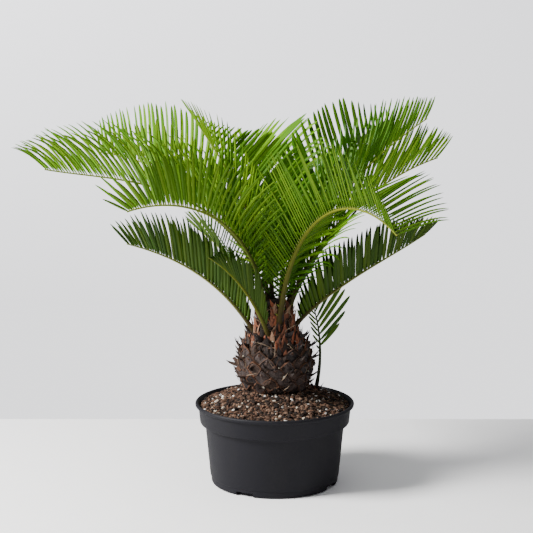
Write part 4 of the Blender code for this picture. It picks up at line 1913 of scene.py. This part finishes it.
@dataclass
class NurseryPot:
    """The round pot with its collar, rolled lip, foot ring, recesses and drain holes."""

    steps: int = 144
    recess_count: int = 4
    recess_azimuth: float = 242.0
    recess_width: float = 0.022
    recess_height: float = 0.0052
    recess_inner: float = 0.050
    recess_outer: float = 0.0805
    recess_rounding: float = 0.0012
    hole_radius: float = 0.004
    hole_place: float = 0.064
    hole_steps: int = 24
    hole_depth: float = 0.03
    outside: tuple[Span, ...] = (
        (0.0, 0.0), (0.0700, 0.0), (0.0735, 0.0002), (0.0752, 0.0010), (0.0760, 0.0026),
        (0.0763, 0.0084), (0.0769, 0.0090), (0.0773, 0.0097), (0.0830, 0.0698), (0.0834, 0.0711),
        (0.0842, 0.0720),
        (0.0872, 0.0730), (0.0886, 0.0736), (0.0893, 0.0748), (0.0911, 0.0920), (0.0915, 0.0929),
        (0.0927, 0.0931), (0.0940, 0.0936), (0.0948, 0.0946), (0.0950, 0.0958), (0.0948, 0.0968),
        (0.0942, 0.0976), (0.0934, 0.0980), (0.0926, 0.0979), (0.0919, 0.0974), (0.0912, 0.0964),
    )
    inside: tuple[Span, ...] = (
        (0.0893, 0.0935), (0.0873, 0.0764), (0.0812, 0.0732), (0.0746, 0.0100), (0.0735, 0.0080),
        (0.0, 0.0075),
    )

    def cutters(self) -> list[bpy.types.Object]:
        """Cutters for the foot's recesses and for the drain holes.

        Returns:
            The cutters.
        """
        blocks, pins = bmesh.new(), bmesh.new()
        length = self.recess_outer - self.recess_inner
        for index in range(self.recess_count):
            azimuth = self.recess_azimuth + index * 360 / self.recess_count
            turn = Matrix.Rotation(math.radians(azimuth), 4, "Z")
            block = bmesh.ops.create_cube(blocks, size=1)["verts"]
            bmesh.ops.scale(blocks, vec=(length, self.recess_width, 2 * self.recess_height), verts=block)
            edges = list({edge for vert in block for edge in vert.link_edges})
            arcs = rounded(blocks, edges, self.recess_rounding, segments=2)
            whole = list(set(arcs) | {vert for vert in block if vert.is_valid})
            bmesh.ops.translate(blocks, vec=(self.recess_inner + length / 2, 0, 0), verts=whole)
            bmesh.ops.transform(blocks, matrix=turn, verts=whole)
            pin = bmesh.ops.create_cone(
                pins, cap_ends=True, segments=self.hole_steps, radius1=self.hole_radius,
                radius2=self.hole_radius, depth=self.hole_depth,
            )["verts"]
            bmesh.ops.translate(pins, vec=(self.hole_place, 0, 0), verts=pin)
            bmesh.ops.transform(pins, matrix=turn, verts=pin)
        named = (("recess_cutter", blocks), ("drain_hole_cutter", pins))
        return [add_object(name, mesh_of(name, bm)) for name, bm in named]

    def build(self) -> None:
        """Turn the pot, cut it and hand it over."""
        body = mesh_of("pot_shell", turned(self.outside + self.inside, self.steps))
        shell = add_object("pot_shell", body)
        cutters = self.cutters()
        for cutter in cutters:
            modifier = shell.modifiers.new(cutter.name, "BOOLEAN")
            modifier.operation = "DIFFERENCE"
            modifier.solver = "EXACT"
            modifier.object = cutter
        bm = bmesh.new()
        bm.from_mesh(shell.evaluated_get(bpy.context.evaluated_depsgraph_get()).to_mesh())
        for obj in (shell, *cutters):
            bpy.data.objects.remove(obj, do_unlink=True)
        add_piece("nursery_pot", bm, [PlasticFinish()], Slot.POT, ("pot",), smooth=32.0)


@dataclass
class Studio:
    """Table, soft light and camera."""

    table_back: float = 0.286
    table_front: float = -2.4
    table_half_width: float = 2.2
    table_thickness: float = 0.04
    table_rounding: float = 0.006
    camera_place: tuple[float, float, float] = (-0.0098, -1.70, 0.533)
    camera_dip: float = 9.1
    lens: float = 98.6
    sensor: float = 36.0
    wall_left: Colour = (2.75, 2.75, 2.86)
    wall_right: Colour = (1.78, 1.78, 1.86)
    wall_low: Colour = (1.80, 1.80, 1.85)
    room_front: Colour = (0.10, 0.10, 0.106)
    room_back: Colour = (0.34, 0.34, 0.35)
    wall_range: Span = (-0.2, 0.2)
    wall_low_range: Span = (-0.18, 0.06)
    room_range: Span = (-0.6, 0.9)
    aim_height: float = 0.2
    key_place: tuple[float, float, float] = (-1.75, -0.55, 1.45)
    key_size: float = 0.8
    key_power: float = 93.0
    key_colour: Colour = (1.0, 0.985, 0.96)
    top_place: tuple[float, float, float] = (0.1, -0.4, 2.2)
    top_size: float = 1.6
    top_power: float = 5.0
    top_colour: Colour = (1.0, 1.0, 1.0)

    def table(self) -> None:
        """The pale table that the pot stands on."""
        bm = bmesh.new()
        slab = bmesh.ops.create_cube(bm, size=1)["verts"]
        depth = self.table_back - self.table_front
        bmesh.ops.scale(bm, vec=(2 * self.table_half_width, depth, self.table_thickness), verts=slab)
        middle = (self.table_back + self.table_front) / 2
        bmesh.ops.translate(bm, vec=(0, middle, -self.table_thickness / 2), verts=slab)
        rounded(bm, bm.edges[:], self.table_rounding, segments=3)
        obj = dressed("table", bm, [StageFinish()], smooth=35.0)
        obj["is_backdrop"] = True

    def backdrop(self) -> None:
        """A pale wall for the eye, darker to the lower right, and a dimmer room for the light."""
        world = bpy.data.worlds.new("surround")
        bpy.context.scene.world = world
        world.use_nodes = True
        board = NodeBoard(world.node_tree)
        place = board.add("ShaderNodeTexCoord").outputs["Generated"]
        split = board.add("ShaderNodeSeparateXYZ", {0: place}).outputs
        wall = board.mix(board.ramp(split["X"], *self.wall_range), self.wall_left, self.wall_right)
        wall = board.mix(board.ramp(split["Z"], *self.wall_low_range), self.wall_low, wall)
        room = board.mix(board.ramp(split["Y"], *self.room_range), self.room_front, self.room_back)
        seen = board.add("ShaderNodeLightPath").outputs["Is Camera Ray"]
        shown = {"Color": board.mix(seen, room, wall), "Strength": 1.0}
        board.feed(world.node_tree.nodes["Background"], shown)

    def light(
        self, name: str, place: Sequence[float], size: float, power: float, colour: Colour
    ) -> None:
        """A soft square panel that looks at the plant.

        Args:
            name: Its name.
            place: Where it stands.
            size: Its width and height.
            power: Its power in watts.
            colour: Its colour.
        """
        data = bpy.data.lights.new(name, "AREA")
        data.shape = "RECTANGLE"
        data.size = data.size_y = size
        data.energy = power
        data.color = colour
        obj = add_object(name, data)
        obj.location = place
        obj.rotation_euler = (UP * self.aim_height - Vector(place)).to_track_quat("-Z", "Y").to_euler()

    def camera(self) -> None:
        """The camera at the photograph's angle."""
        data = bpy.data.cameras.new("camera")
        data.lens = self.lens
        data.sensor_width = self.sensor
        obj = add_object("camera", data)
        obj.location = self.camera_place
        obj.rotation_euler = (math.radians(90 - self.camera_dip), 0, 0)
        bpy.context.scene.camera = obj

    def build(self) -> None:
        """Set the studio up."""
        self.table()
        self.backdrop()
        self.light("key_panel", self.key_place, self.key_size, self.key_power, self.key_colour)
        self.light("top_panel", self.top_place, self.top_size, self.top_power, self.top_colour)
        self.camera()


def corners(box: Iterable[Vector]) -> list[list[float]]:
    """A box's corners as plain lists."""
    return [list(corner) for corner in box]


def main() -> None:
    """Build everything in order."""
    logging.basicConfig(level=logging.INFO, format="%(name)s: %(message)s")
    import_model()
    solid_box = corners(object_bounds())
    Studio().build()
    NurseryPot().build()
    PottingMix().build()
    Caudex().build()
    Crown().build()
    {"cad": solid_box, "visual": corners(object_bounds())}


if __name__ == "__main__":
    main()
